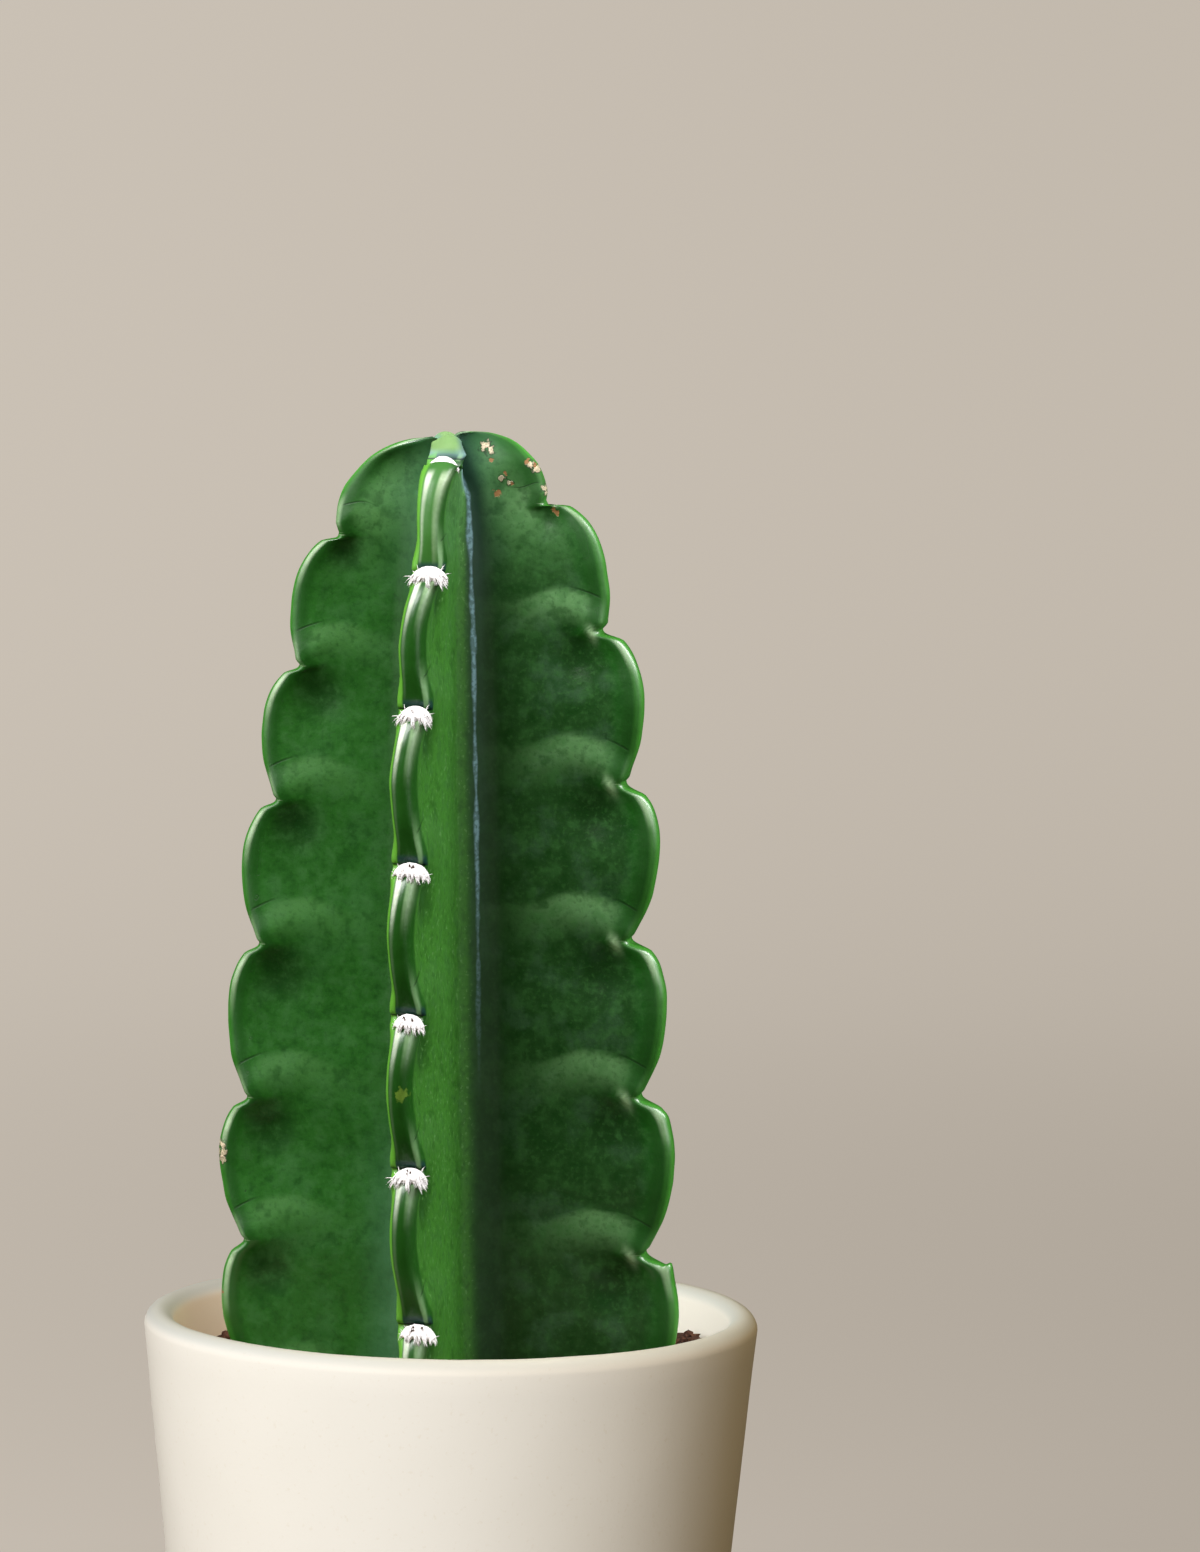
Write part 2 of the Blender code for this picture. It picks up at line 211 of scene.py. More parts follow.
# %% Finishes
class Finish(Graph):
    """A material in the making. Values that are the same all over are set on the shader itself."""

    def __init__(self, name, **constants):
        self.material = bpy.data.materials.new(name)
        self.material.use_nodes = True
        super().__init__(self.material.node_tree)
        self.shader = self.tree.nodes["Principled BSDF"]
        self.wear(**constants)
        self.place = self.node("ShaderNodeTexCoord", output="Object")
        self.base = None

    def wear(self, **sockets):
        """Feeds the shader's sockets, named with underscores for spaces."""
        for name, value in sockets.items():
            self.feed(self.shader.inputs[name.replace("_", " ")], value)

    def axis(self, letter):
        """The place along X, Y or Z, in metres."""
        return self.node("ShaderNodeSeparateXYZ", values={0: self.place}, output=letter)

    def stretched(self, factors):
        """The place, with each of its axes multiplied by a factor."""
        return self.node("ShaderNodeVectorMath", {"operation": "MULTIPLY"}, {0: self.place, 1: factors})

    def clouds(self, size, detail=2.0):
        """Soft noise from 0 to 1, with blobs of about this size in metres."""
        values = {"Vector": self.place, "Scale": 1 / size, "Detail": detail}
        return self.node("ShaderNodeTexNoise", values=values)

    def attribute(self, name):
        """A value that the mesh keeps for each of its corners."""
        return self.node("ShaderNodeAttribute", {"attribute_name": name}, output="Fac")

    def lay(self, share, paint):
        """Lays a colour over the base, as thickly as the share from 0 to 1 says."""
        self.base = self.mix(share, self.base, paint)

    def bump(self, height, distance, strength=1.0):
        """Fine relief: a height from 0 to 1 over a distance in metres."""
        values = {"Height": height, "Distance": distance, "Strength": strength}
        self.wear(Normal=self.node("ShaderNodeBump", values=values))


def colour(red, green, blue):
    """An opaque colour."""
    return (red, green, blue, 1.0)


def dress(piece, finish, group):
    """Gives a piece its one finish, and the light of a group of lamps."""
    piece.data.materials.clear()
    piece.data.materials.append(finish.material)
    group.objects.link(piece)


# %% [markdown]
# ## The camera
#
# The picture was taken from a little above the crown with a long lens, so that the pot's rim is a
# thin ellipse and the ribs hardly narrow with distance. It is tipped by less than a degree.

# %% Set up the camera
AIM = Vector((34.3, 0, 271.5)) * MM
CAMERA_DISTANCE = 1.59
CAMERA_HEIGHT_ANGLE = math.radians(4.9)
CAMERA_ROLL = math.radians(0.9)
LENS = 151.7

back = Vector((0, -math.cos(CAMERA_HEIGHT_ANGLE), math.sin(CAMERA_HEIGHT_ANGLE)))
turn = Matrix.Rotation(math.pi / 2 - CAMERA_HEIGHT_ANGLE, 3, "X") @ Matrix.Rotation(CAMERA_ROLL, 3, "Z")
bpy.ops.object.camera_add(location=AIM + back * CAMERA_DISTANCE, rotation=turn.to_euler())
camera = bpy.context.active_object
camera.data.lens = LENS
camera.data.sensor_width = 36
bpy.context.scene.camera = camera
print("camera at", [round(value, 3) for value in camera.location])

# %% [markdown]
# ## The studio
#
# The background is a paper sweep with no edge between floor and wall. A round one looks the same
# from every side: a disc whose rim is drawn outwards and up along a large curve. It is made by
# extruding and scaling a ring, which is also how the pot and the mix are made further on, so the
# tool for it comes here.

# %% A tool for turned shapes
def turned(name, profile, segments):
    """Draws a ring along a profile of (radius, height) in millimetres by extruding and scaling it."""
    (radius, height), *rest = profile
    pick()
    bpy.ops.mesh.primitive_circle_add(
        vertices=segments, radius=radius * MM, location=(0, 0, height * MM)
    )
    piece = added(name)
    edit(piece)
    for next_radius, next_height in rest:
        bpy.ops.mesh.extrude_region_move(
            TRANSFORM_OT_translate={"value": (0, 0, (next_height - height) * MM)}
        )
        scale = next_radius / radius
        bpy.ops.transform.resize(
            value=(scale, scale, 1), center_override=(0, 0, next_height * MM)
        )
        radius, height = next_radius, next_height
    pick(piece)
    return piece


def close_ends(piece):
    """Welds coinciding rings, fills what is still open and points all faces outwards."""
    edit(piece)
    bpy.ops.mesh.remove_doubles(threshold=0.00001)
    bpy.ops.mesh.select_all(action="DESELECT")
    bpy.ops.mesh.select_mode(type="EDGE")
    bpy.ops.mesh.select_non_manifold()
    bpy.ops.mesh.edge_face_add()
    bpy.ops.mesh.select_mode(type="VERT")
    bpy.ops.mesh.select_all(action="SELECT")
    bpy.ops.mesh.normals_make_consistent(inside=False)
    pick(piece)


def arc(centre_radius, centre_height, radius, first, last, steps):
    """Points on a round stretch of a profile, between two angles in degrees."""
    turns = np.radians(np.linspace(first, last, steps + 1))
    return [(centre_radius + radius * math.cos(t), centre_height + radius * math.sin(t)) for t in turns]


# %% [markdown]
# The floor is flat for 1.6 m all round, then rises on a quarter circle into a wall. That is far more
# than the camera sees, but the object is looked at from all sides.

# %% Lay the paper sweep
FLOOR_REACH = 1600.0
SWEEP_RADIUS = 1500.0
WALL_TOP = 4200.0

sweep_profile = [
    *[(radius, 0.0) for radius in (1.0, 100, 250, 500, 900, 1250)],
    *arc(FLOOR_REACH, SWEEP_RADIUS, SWEEP_RADIUS, -90, 0, 24),
    *[(FLOOR_REACH + SWEEP_RADIUS, height) for height in (2000, 3000, WALL_TOP)],
]
sweep = turned("paper_sweep", sweep_profile, 96)
edit(sweep)
bpy.ops.mesh.normals_make_consistent(inside=True)
pick(sweep)
bpy.ops.object.shade_smooth()
sweep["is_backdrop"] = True
print("sweep:", triangles(sweep), "triangles")

# %% [markdown]
# The paper is a warm, pale grey. Its far part glows a little, a painted light that stands in for a
# lamp of its own on the backdrop, so that it stays even where the softboxes fade out. The glow is
# painted brighter on the left too, as if lit from that side. It takes no part in lighting the object:
# the soft light all round comes from the world instead.

# %% Finish the paper
paper = Finish(
    "warm_grey_paper", Base_Color=colour(0.34, 0.31, 0.28), Roughness=0.9, Specular_IOR_Level=0.0,
    Emission_Strength=1.0,
)
from_middle = paper.measure("LENGTH", paper.place)
# Painted light: the glow is brighter towards the left.
painted_light_from_left = paper.step(paper.axis("X"), 0.5, -0.5)
far_glow = paper.mix(painted_light_from_left, colour(0.280, 0.260, 0.232), colour(0.400, 0.371, 0.333))
far_glow = paper.mix(paper.step(from_middle, 0.6, 2.6) * 0.55, far_glow, colour(0.56, 0.52, 0.466))
glow = paper.mix(paper.step(from_middle, 0.12, 0.42), colour(0.06, 0.055, 0.05), far_glow)
paper.wear(Emission_Color=glow)
sweep.data.materials.append(paper.material)
sweep.visible_diffuse = sweep.visible_glossy = sweep.visible_shadow = sweep.visible_transmission = False

# %% [markdown]
# Softboxes light the object. Light linking lets each lamp reach one group of pieces alone, as black
# cards would in a studio, so the plant, the pot with its mix, and the paper are each lit in their own
# way. The plant has a key on the upper left, a lamp at its left edge, and two on the right that fill
# and graze its flanks. The pot has a key lower down and nearer the camera, one at its left edge, and a
# warm one on the upper right. The paper has one of its own.

# %% Hang the lights
LAMP_AIM = Vector((0, 0, 0.22))
AMBER = (1.0, 0.70, 0.30)


def softbox(name, azimuth, elevation, distance, width, height, strength, lit, shaded_by=None):
    """An area light aimed at the object, equally strong on it from any distance.

    An azimuth of 0 is at the camera, and one of 90 at the camera's right.
    """
    a, e = math.radians(azimuth), math.radians(elevation)
    out = Vector((math.sin(a) * math.cos(e), -math.cos(a) * math.cos(e), math.sin(e)))
    facing = out.to_track_quat("Z", "Y").to_euler()
    bpy.ops.object.light_add(type="AREA", location=LAMP_AIM + out * distance, rotation=facing)
    lamp = bpy.context.active_object
    lamp.name = lamp.data.name = name
    lamp.data.shape = "RECTANGLE"
    lamp.data.size, lamp.data.size_y = width, height
    lamp.data.energy = strength * (math.pi * distance) ** 2
    lamp.visible_camera = False
    lamp.light_linking.receiver_collection = lit
    lamp.light_linking.blocker_collection = shaded_by
    return lamp


def lit_group(name):
    """A collection for the pieces that some of the lamps reach."""
    group = bpy.data.collections.new(name)
    bpy.context.scene.collection.children.link(group)
    return group


on_plant, on_pot, on_paper = lit_group("lit_plant"), lit_group("lit_pot_and_mix"), lit_group("lit_paper")
on_paper.objects.link(sweep)
softbox("key", -40, 58, 1.4, 0.7, 0.7, 1.40, on_plant)
softbox("edge", -80, 24, 1.3, 1.1, 1.1, 0.50, on_plant)
softbox("fill", 66, 24, 1.3, 0.9, 1.1, 0.42, on_plant)
softbox("side", 92, 40, 1.3, 0.4, 0.6, 0.70, on_plant)
softbox("key_for_pot", -23, 15, 1.4, 0.7, 0.8, 0.98, on_pot, on_pot)
softbox("edge_for_pot", -105, 20, 1.4, 0.4, 0.8, 0.27, on_pot, on_pot)
softbox("top_for_pot", 75, 55, 1.4, 0.8, 0.8, 0.27, on_pot, on_pot).data.color = AMBER
softbox("key_for_paper", -35, 38, 1.4, 0.6, 0.8, 0.9, on_paper)
print("lit apart:", *(group.name for group in (on_plant, on_pot, on_paper)))

# %% [markdown]
# A small warm lamp stands in for the light that goes back and forth between the pot's inner walls. It
# hangs above the pot, to the right of its axis, and faces the inner wall on the left.

# %% Send some light back into the pot
bpy.ops.object.light_add(type="AREA", location=(0.035, -0.02, 0.23), rotation=(0, math.radians(55), 0))
card = bpy.context.active_object
card.name = card.data.name = "card_over_pot"
card.data.size = 0.06
card.data.energy = 0.10
card.data.color = (1.0, 0.86, 0.70)
card.visible_camera = False
card.light_linking.receiver_collection = card.light_linking.blocker_collection = on_pot

# %% [markdown]
# The world gives the rest: soft and warm, and brighter from the left than from the right. Reflections
# don't show it, so that they show the softboxes alone.

# %% Soft light all round
BRIGHTEST_FROM = (-0.90, -0.10, 0.42)
DIMMEST, BRIGHTEST = 0.10, 0.30

world = bpy.data.worlds.new("studio")
bpy.context.scene.world = world
world.use_nodes = True
world.cycles_visibility.glossy = False
sky = Graph(world.node_tree)
towards = sky.node("ShaderNodeTexCoord", output="Generated")
facing = sky.measure("DOT_PRODUCT", towards, BRIGHTEST_FROM)
strength = sky.node(
    "ShaderNodeMapRange",
    {"interpolation_type": "SMOOTHSTEP"},
    {"Value": facing, "From Min": -1.0, "To Min": DIMMEST, "To Max": BRIGHTEST},
)
background = sky.tree.nodes["Background"]
sky.feed(background.inputs["Color"], colour(1.0, 0.79, 0.51))
sky.feed(background.inputs["Strength"], strength)
bpy.context.scene.view_settings.view_transform = "Standard"

# %% [markdown]
# ## The pot
#
# The pot was turned on a wheel: a straight wall that widens upwards, a full round lip, and a plain
# foot ring with a drain hole. So it is one profile taken all the way round, down the outside, in
# under the foot, up through the drain and up the inside again.

# %% Turn the pot
POT_HEIGHT = 140.0
RIM_RADIUS = 75.0
WALL = 7.2
WALL_TAPER = 0.098
FOOT_ROUNDING = 4.0
FOOT_RING_WIDTH = 8.0
FOOT_RECESS = 2.0
FLOOR_TOP = 9.0
FLOOR_ROUNDING = 6.0
DRAIN_RADIUS = 7.0
LIP = WALL / 2


def wall_radius(height):
    """Outer radius of the straight wall at a height."""
    return RIM_RADIUS - WALL_TAPER * (POT_HEIGHT - LIP - height)


def straight(start, end, steps):
    """Points on a straight stretch of a profile, both of its ends left out."""
    return [tuple(np.array(start) + (np.array(end) - start) * i / steps) for i in range(1, steps)]


foot_radius = wall_radius(0)
ring_inner = foot_radius - FOOT_ROUNDING - FOOT_RING_WIDTH
inner_floor = wall_radius(FLOOR_TOP) - WALL
lip_arc = arc(RIM_RADIUS - LIP, POT_HEIGHT - LIP, LIP, 180, 0, 20)
foot_arc = arc(foot_radius - FOOT_ROUNDING, FOOT_ROUNDING, FOOT_ROUNDING, 0, -90, 8)
floor_arc = arc(inner_floor - FLOOR_ROUNDING, FLOOR_TOP + FLOOR_ROUNDING, FLOOR_ROUNDING, -90, 0, 6)
pot_profile = [
    *lip_arc,
    *straight(lip_arc[-1], foot_arc[0], 26),
    *foot_arc,
    (ring_inner, 0.0),
    (ring_inner - FOOT_RECESS, FOOT_RECESS),
    (DRAIN_RADIUS + 1.0, FOOT_RECESS),
    (DRAIN_RADIUS, FOOT_RECESS + 1.0),
    (DRAIN_RADIUS, FLOOR_TOP - 1.0),
    (DRAIN_RADIUS + 1.0, FLOOR_TOP),
    *floor_arc,
    *straight(floor_arc[-1], lip_arc[0], 14),
    lip_arc[0],
]
pot = turned("pot_shell", pot_profile, 192)
close_ends(pot)
print("pot:", triangles(pot), "triangles")

# %% [markdown]
# Nothing fired in a kiln is perfectly round. A Displace modifier with a large, faint cloud texture
# moves the surface by about a tenth of a millimetre, which is enough to let the light break a little.

# %% Soften the pot
waver = bpy.data.textures.new("kiln_waver", "CLOUDS")
waver.noise_scale = 0.03
uneven = pot.modifiers.new("uneven", "DISPLACE")
uneven.texture = waver
uneven.texture_coords = "LOCAL"
uneven.strength = 0.00035
apply_modifiers(pot)
bpy.ops.object.shade_smooth()

# %% [markdown]
# The glaze is cream, matte and a little soft to the eye. Its colour drifts faintly, with fine darker
# grain, and the lip is painted darker and cooler, a painted shade. The inner wall is told from the
# outer one by its distance from the axis, less the wall's taper: 54 mm against 62 mm. It is painted
# lighter and warmer, most warm on the left: painted bounce light for the light that goes back and
# forth between the walls.

# %% Glaze the pot
WITHIN_WALL, AT_INNER_FACE = 0.0566, 0.0541

glaze = Finish("matte_cream_glaze", Specular_IOR_Level=0.35)
drift = glaze.clouds(0.045, 3.0)
grain = glaze.clouds(0.0012, 2.0)
level = glaze.axis("Z")
from_axis = glaze.measure("LENGTH", glaze.stretched((1, 1, 0)))
inside = glaze.step(from_axis - WALL_TAPER * level, WITHIN_WALL, AT_INNER_FACE)
inside = inside * glaze.step(level, 0.1395, 0.136) * glaze.step(level, 0.004, 0.008)
# Painted bounce light on the inner wall: warm on the left, nearly white on the right.
painted_bounce_to_right = glaze.step(glaze.axis("X"), -0.02, 0.04)
glaze.base = glaze.mix(drift, colour(0.82, 0.80, 0.745), colour(0.86, 0.845, 0.80))
glaze.lay(glaze.step(grain, 0.62, 0.75) * 0.25, colour(0.72, 0.66, 0.55))
glaze.lay(inside, glaze.mix(painted_bounce_to_right, colour(0.93, 0.81, 0.66), colour(0.97, 0.93, 0.85)))
# Painted shade: the lip is darker and cooler than the body.
glaze.lay(glaze.step(level, 0.1370, 0.1395), colour(0.625, 0.66, 0.655))
glaze.wear(Base_Color=glaze.base, Roughness=0.5 + 0.14 * drift)
glaze.bump(grain * 0.4 + drift, 0.0002, 0.35)
dress(pot, glaze, on_pot)
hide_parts("pot")
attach(pot, "root")
print("glaze:", len(glaze.tree.nodes), "nodes")

# %% [markdown]
# ## The potting mix
#
# The mix is a dark, crumbly filling of bark and peat. Its body is turned like the pot. Only its top
# shows, so the top gets many rings. They rise a little on both sides of the stem, from 44 mm out, and
# Displace modifiers then roughen them: first in rolls of a few centimetres, then in crumbs of a few
# millimetres.

# %% Fill the pot with mix
CLEARANCE = 0.3
SOIL_TOP = POT_HEIGHT - 13.4
HEAP_LEFT = 2.4
HEAP_RIGHT = 3.8
TOP_RINGS = 48

reach = WALL + CLEARANCE
soil_rim = wall_radius(SOIL_TOP) - reach
soil_floor = wall_radius(FLOOR_TOP) - reach
bottom = FLOOR_TOP + CLEARANCE
soil_profile = [
    (2.0, bottom),
    *arc(soil_floor - FLOOR_ROUNDING, bottom + FLOOR_ROUNDING, FLOOR_ROUNDING, -90, 0, 4),
    *[(soil_rim * (1 - i / TOP_RINGS), SOIL_TOP) for i in range(TOP_RINGS)],
]
soil = turned("soil_bed", soil_profile, 200)
close_ends(soil)
top = soil.vertex_groups.new(name="top")
for vertex in soil.data.vertices:
    from_rim = soil_rim - math.hypot(vertex.co.x, vertex.co.y) / MM
    if vertex.co.z > (SOIL_TOP - 0.1) * MM and from_rim > 0.5:
        aside = min(1.0, max(0.0, abs(vertex.co.x + 0.004) / 0.02 - 2.2)) * min(1.0, from_rim / 2)
        vertex.co.z += (HEAP_RIGHT if vertex.co.x > 0 else HEAP_LEFT) * MM * aside
        top.add([vertex.index], min(1.0, 0.3 + from_rim / 4), "REPLACE")

for name, kind, size, rise in (
    ("rolls", "CLOUDS", 0.022, 0.0022),
    ("lumps", "VORONOI", 0.0065, -0.0020),
    ("crumbs", "CLOUDS", 0.0022, 0.0013),
):
    texture = bpy.data.textures.new(name, kind)
    texture.noise_scale = size
    rough = soil.modifiers.new(name, "DISPLACE")
    rough.texture = texture
    rough.texture_coords = "LOCAL"
    rough.direction = "Z"
    rough.vertex_group = "top"
    rough.strength = rise
apply_modifiers(soil)
bpy.ops.object.shade_smooth()
print("mix:", triangles(soil), "triangles")

# %% [markdown]
# Loose crumbs and slivers of bark lie on top. Each kind is modelled once, with a few dozen faces: a
# crumb is an icosphere, and a sliver a flattened cube, both with their corners moved at random.

# %% Model the crumbs
rng = np.random.default_rng(SEED)


def roughened(piece, amount):
    """Moves each corner a little, so that a piece looks broken and not made."""
    for vertex in piece.data.vertices:
        vertex.co *= 1 + amount * rng.uniform(-1, 1)
    return piece


pick()
bpy.ops.mesh.primitive_ico_sphere_add(subdivisions=2, radius=0.5)
crumb = roughened(added("crumb"), 0.16)

slivers = []
for length, width, thickness in ((1.0, 0.42, 0.22), (1.0, 0.6, 0.3), (1.0, 0.16, 0.12)):
    pick()
    bpy.ops.mesh.primitive_cube_add(size=1)
    sliver = added("sliver")
    edit(sliver)
    bpy.ops.mesh.subdivide(number_cuts=1)
    bpy.ops.transform.resize(value=(length, width, thickness), center_override=(0, 0, 0))
    pick(sliver)
    slivers.append(roughened(sliver, 0.2))

# %% [markdown]
# Copies are strewn by a seeded rule, turned round, tilted a little and pressed nearly halfway into the
# bed. A ray cast straight down finds how high the bed is at each place. None lies near the stem's
# axis or in front of the stem, where the mix is smoother.

# %% Strew the crumbs
NEAR_AXIS = 12.0
TILT = 0.2
RAISED = 0.12


def strewn(count, low, high, choose):
    """Copies of small pieces on the bed, away from the axis."""
    copies = []
    while len(copies) < count:
        radius, angle = (soil_rim - 2.0) * math.sqrt(rng.random()), rng.uniform(0, math.tau)
        size = rng.uniform(low, high)
        start = Vector((radius * math.cos(angle), radius * math.sin(angle), SOIL_TOP + 20)) * MM
        hit, place, _, _ = soil.ray_cast(start, (0, 0, -1))
        in_front = -32 * MM < place.y < 3 * MM and abs(place.x) < 52 * MM
        if radius < NEAR_AXIS or in_front or not hit:
            continue
        lie = Matrix.Rotation(rng.uniform(0, math.tau), 4, "Z")
        lie = lie @ Matrix.Rotation(rng.normal(0, TILT), 4, "Y")
        lie = lie @ Matrix.Rotation(rng.normal(0, TILT), 4, "X")
        lift = Matrix.Translation(place + Vector((0, 0, RAISED * size * MM)))
        copies.append(copy_of(choose(), lift @ lie @ Matrix.Scale(size * MM, 4)))
    return copies


crumbs = join("soil_crumbs", strewn(520, 1.2, 3.2, lambda: crumb))
bark = join("soil_bark", strewn(330, 2.2, 5.0, lambda: slivers[rng.integers(len(slivers))]))
for template in (crumb, *slivers):
    bpy.data.objects.remove(template)
for piece in (crumbs, bark):
    pick(piece)
    bpy.ops.object.shade_flat()
    print(piece.name, triangles(piece), "triangles")

# %% [markdown]
# Damp bark and peat are nearly black in the hollows and reddish brown where they have dried. The bed
# and what lies on it share one recipe at three strengths of colour.

# %% Colour the mix
def mix_finish(name, dark, light, patch):
    """Dark and light patches of a size in metres, with paler specks."""
    finish = Finish(name, Roughness=0.92, Specular_IOR_Level=0.25)
    broad = finish.clouds(patch, 4.0)
    fine = finish.clouds(0.0007, 2.0)
    specks = colour(*(value * 1.9 for value in light))
    finish.base = finish.mix(finish.step(broad, 0.35, 0.7), colour(*dark), colour(*light))
    finish.lay(finish.step(fine, 0.55, 0.75) * 0.5, specks)
    finish.wear(Base_Color=finish.base)
    finish.bump(fine + broad, 0.0006, 0.8)
    return finish


damp_peat = mix_finish("damp_peat", (0.026, 0.011, 0.008), (0.095, 0.042, 0.028), 0.004)
dry_peat = mix_finish("dry_peat", (0.045, 0.020, 0.014), (0.150, 0.068, 0.046), 0.006)
brown_bark = mix_finish("bark", (0.065, 0.027, 0.017), (0.21, 0.10, 0.06), 0.005)
for piece, finish in ((soil, damp_peat), (crumbs, dry_peat), (bark, brown_bark)):
    dress(piece, finish, on_pot)
    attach(piece, "root")
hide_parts("soil")

# %% [markdown]
# ## The stem
#
# The stem is one body of four ribs. Each rib's crest runs down in lobes, from one areole to the next,
# and the lobes of neighbouring ribs stand half a step apart, because the areoles grow in a spiral.
# Such a form is a formula more than a shape to be pushed about: where along the stem, which rib, how
# far out from the valley. So a flat grid is rolled up, and the formula says where each point goes.
#
# Heights are told as a depth below the crown, in millimetres, because growth starts there.

# %% The ribs' measures
@dataclass(frozen=True)
class Rib:
    """A rib's shape. A place of 1 is one step of the spiral of areoles, which the ribs share."""

    turn: float  # degrees anticlockwise from the front rib
    first: float  # the place of its topmost areole
    depths: tuple  # its areoles' depths
    radii: tuple  # its notches' distances from the axis
    young_bulge: float  # how far its newest lobe swells between two notches
    bulge: float  # how far the others do
    rise: float  # how slowly they swell
    hooks: tuple  # how far each lobe's lower tip stands out
    ears: tuple  # how far each lobe's shoulder stands up
    arch: tuple  # how high its creases start above a notch, and how that drifts downwards
    flanks: tuple  # the tone, which is yellower at 1, and the bloom of either flank
    wool: float  # its tufts' width, less than 1 where they are worn


RIBS = (
    Rib(
        turn=0.0, first=0.0,
        depths=(6.5, 33.0, 65.0, 101.5, 137.0, 173.5, 210.5),
        radii=(16.0, 31.5, 40.5, 46.0, 48.5, 49.5, 50.0),
        young_bulge=4.0, bulge=7.2, rise=0.56,
        hooks=(0.3, 0.6, 0.6, 0.6, 0.6, 0.6, 0.6, 0), ears=(0, 0, 0, 0, 0, 0, 0, 0),
        arch=(5.0, 0.0), flanks=((0.2, 0.3), (1.0, 0.0)), wool=1.0,
    ),
    Rib(
        turn=90.0, first=0.5,
        depths=(16.9, 47.4, 84.0, 122.0, 160.1, 198.8, 237.0),
        radii=(24.5, 38.0, 43.9, 45.0, 47.5, 48.3, 48.4),
        young_bulge=8.8, bulge=8.0, rise=0.56,
        hooks=(0.8, 1.4, 0.5, 0.3, 0.3, 0.4, 0.5, 0), ears=(0, 0, 0, 0.3, 0.3, 0.9, 3.4, 1.0),
        arch=(5.6, -0.3), flanks=((0.0, 0.9), (0.4, 0.3)), wool=0.6,
    ),
    Rib(
        turn=180.0, first=0.0,
        depths=(5.5, 31.0, 63.0, 99.0, 135.0, 172.0, 209.0),
        radii=(15.0, 31.0, 40.0, 45.5, 48.0, 49.5, 50.0),
        young_bulge=4.0, bulge=7.2, rise=0.56,
        hooks=(0.3, 0.9, 0.6, 0.8, 0.6, 1.0, 0.7, 0), ears=(0, 0, 0, 0, 0.5, 0, 1.0, 0),
        arch=(5.2, -0.2), flanks=((0.4, 0.2), (0.2, 0.6)), wool=1.0,
    ),
    Rib(
        turn=270.0, first=0.5,
        depths=(25.5, 57.6, 90.6, 126.0, 164.0, 199.1, 235.5),
        radii=(26.8, 36.8, 43.0, 47.5, 50.8, 51.6, 48.6),
        young_bulge=9.6, bulge=7.2, rise=0.66,
        hooks=(0.9, 0.8, 0.5, 0.4, 0.4, 0.4, 0.4, 0), ears=(0, 0, 0, 0, 0, 0, 0, 0.4),
        arch=(5.5, -0.1), flanks=((0.3, 0.6), (0.15, 0.25)), wool=0.6,
    ),
)
RIGHT_RIB = RIBS[1]
CROWN_HEIGHT = 354.5
CROWN_DIP = 3.0
BASE_DEPTH = 250.0
BASE_RADIUS = 50.0
FIRST_PLACE = -1.0
LAST_PLACE = 7.0
FRONT_AZIMUTH = -101.5
LEAN = -0.0185
SWAY = 0.6
ROWS_PER_LOBE = 44
MARGIN_STEPS = 9
FLANK_STEPS = 22


def soft(value):
    """0 below 0, 1 above 1 and smooth between them."""
    value = np.clip(value, 0, 1)
    return value * value * (3 - 2 * value)


# %% [markdown]
# A lobe swells fast below its areole, falls slowly, and ends in a small hooked tip that stands out
# just above the next areole. Two powers give the swelling, and a short soft step adds the hook. The
# newest lobe of a rib, which reaches up to the crown, has powers of its own.

# %% The crest of a rib
FALL = 0.93
YOUNG_RISE = 0.65
YOUNG_FALL = 0.7


def rib_table(rib):
    """Places along a rib, with the depth and radius of its crest at each notch and both ends."""
    places = [FIRST_PLACE, *[rib.first + i for i in range(len(rib.depths))], LAST_PLACE]
    depths = [CROWN_DIP, *rib.depths, BASE_DEPTH]
    radii = [0.0, *rib.radii, BASE_RADIUS]
    return np.array(places), np.array(depths), np.array(radii)


def crest(rib, place):
    """Radius and depth of the crest at a place, the share of the lobe that lies above it, and its ear."""
    places, depths, radii = rib_table(rib)
    lobe = np.clip(np.searchsorted(places, place, side="right") - 1, 0, len(places) - 2)
    share = np.clip((place - places[lobe]) / (places[lobe + 1] - places[lobe]), 0, 1)
    run, drop = radii[lobe + 1] - radii[lobe], depths[lobe + 1] - depths[lobe]
    length = np.hypot(run, drop)
    rise, fall = np.where(lobe == 0, YOUNG_RISE, rib.rise), np.where(lobe == 0, YOUNG_FALL, FALL)
    peak = rise / (rise + fall)
    outline = (share / peak) ** rise * ((1 - share) / (1 - peak)) ** fall * soft(share / 0.09 + 0.12)
    hook = np.array(rib.hooks)[lobe] * soft((share - 0.6) / 0.33) * (1 - soft((share - 0.965) / 0.03))
    bulge = np.where(lobe == 0, rib.young_bulge, rib.bulge) * outline + hook
    out = radii[lobe] + run * share + bulge * drop / length
    ear = np.array(rib.ears)[lobe] * np.exp(-(((share - 0.15) / 0.05) ** 2))
    return out, depths[lobe] + drop * share - bulge * run / length, share, ear


# %% [markdown]
# Near the crown the valleys lie a little lower than the ribs, and the whole stem turns and leans
# slightly, as grown things do.

# %% The valleys and the turn of the stem
def core_radius(depth):
    """How far out the valleys lie: close to the axis at the crown, and further out lower down."""
    return 6.0 + 7.2 * (1 - np.exp(-depth / 40.0))


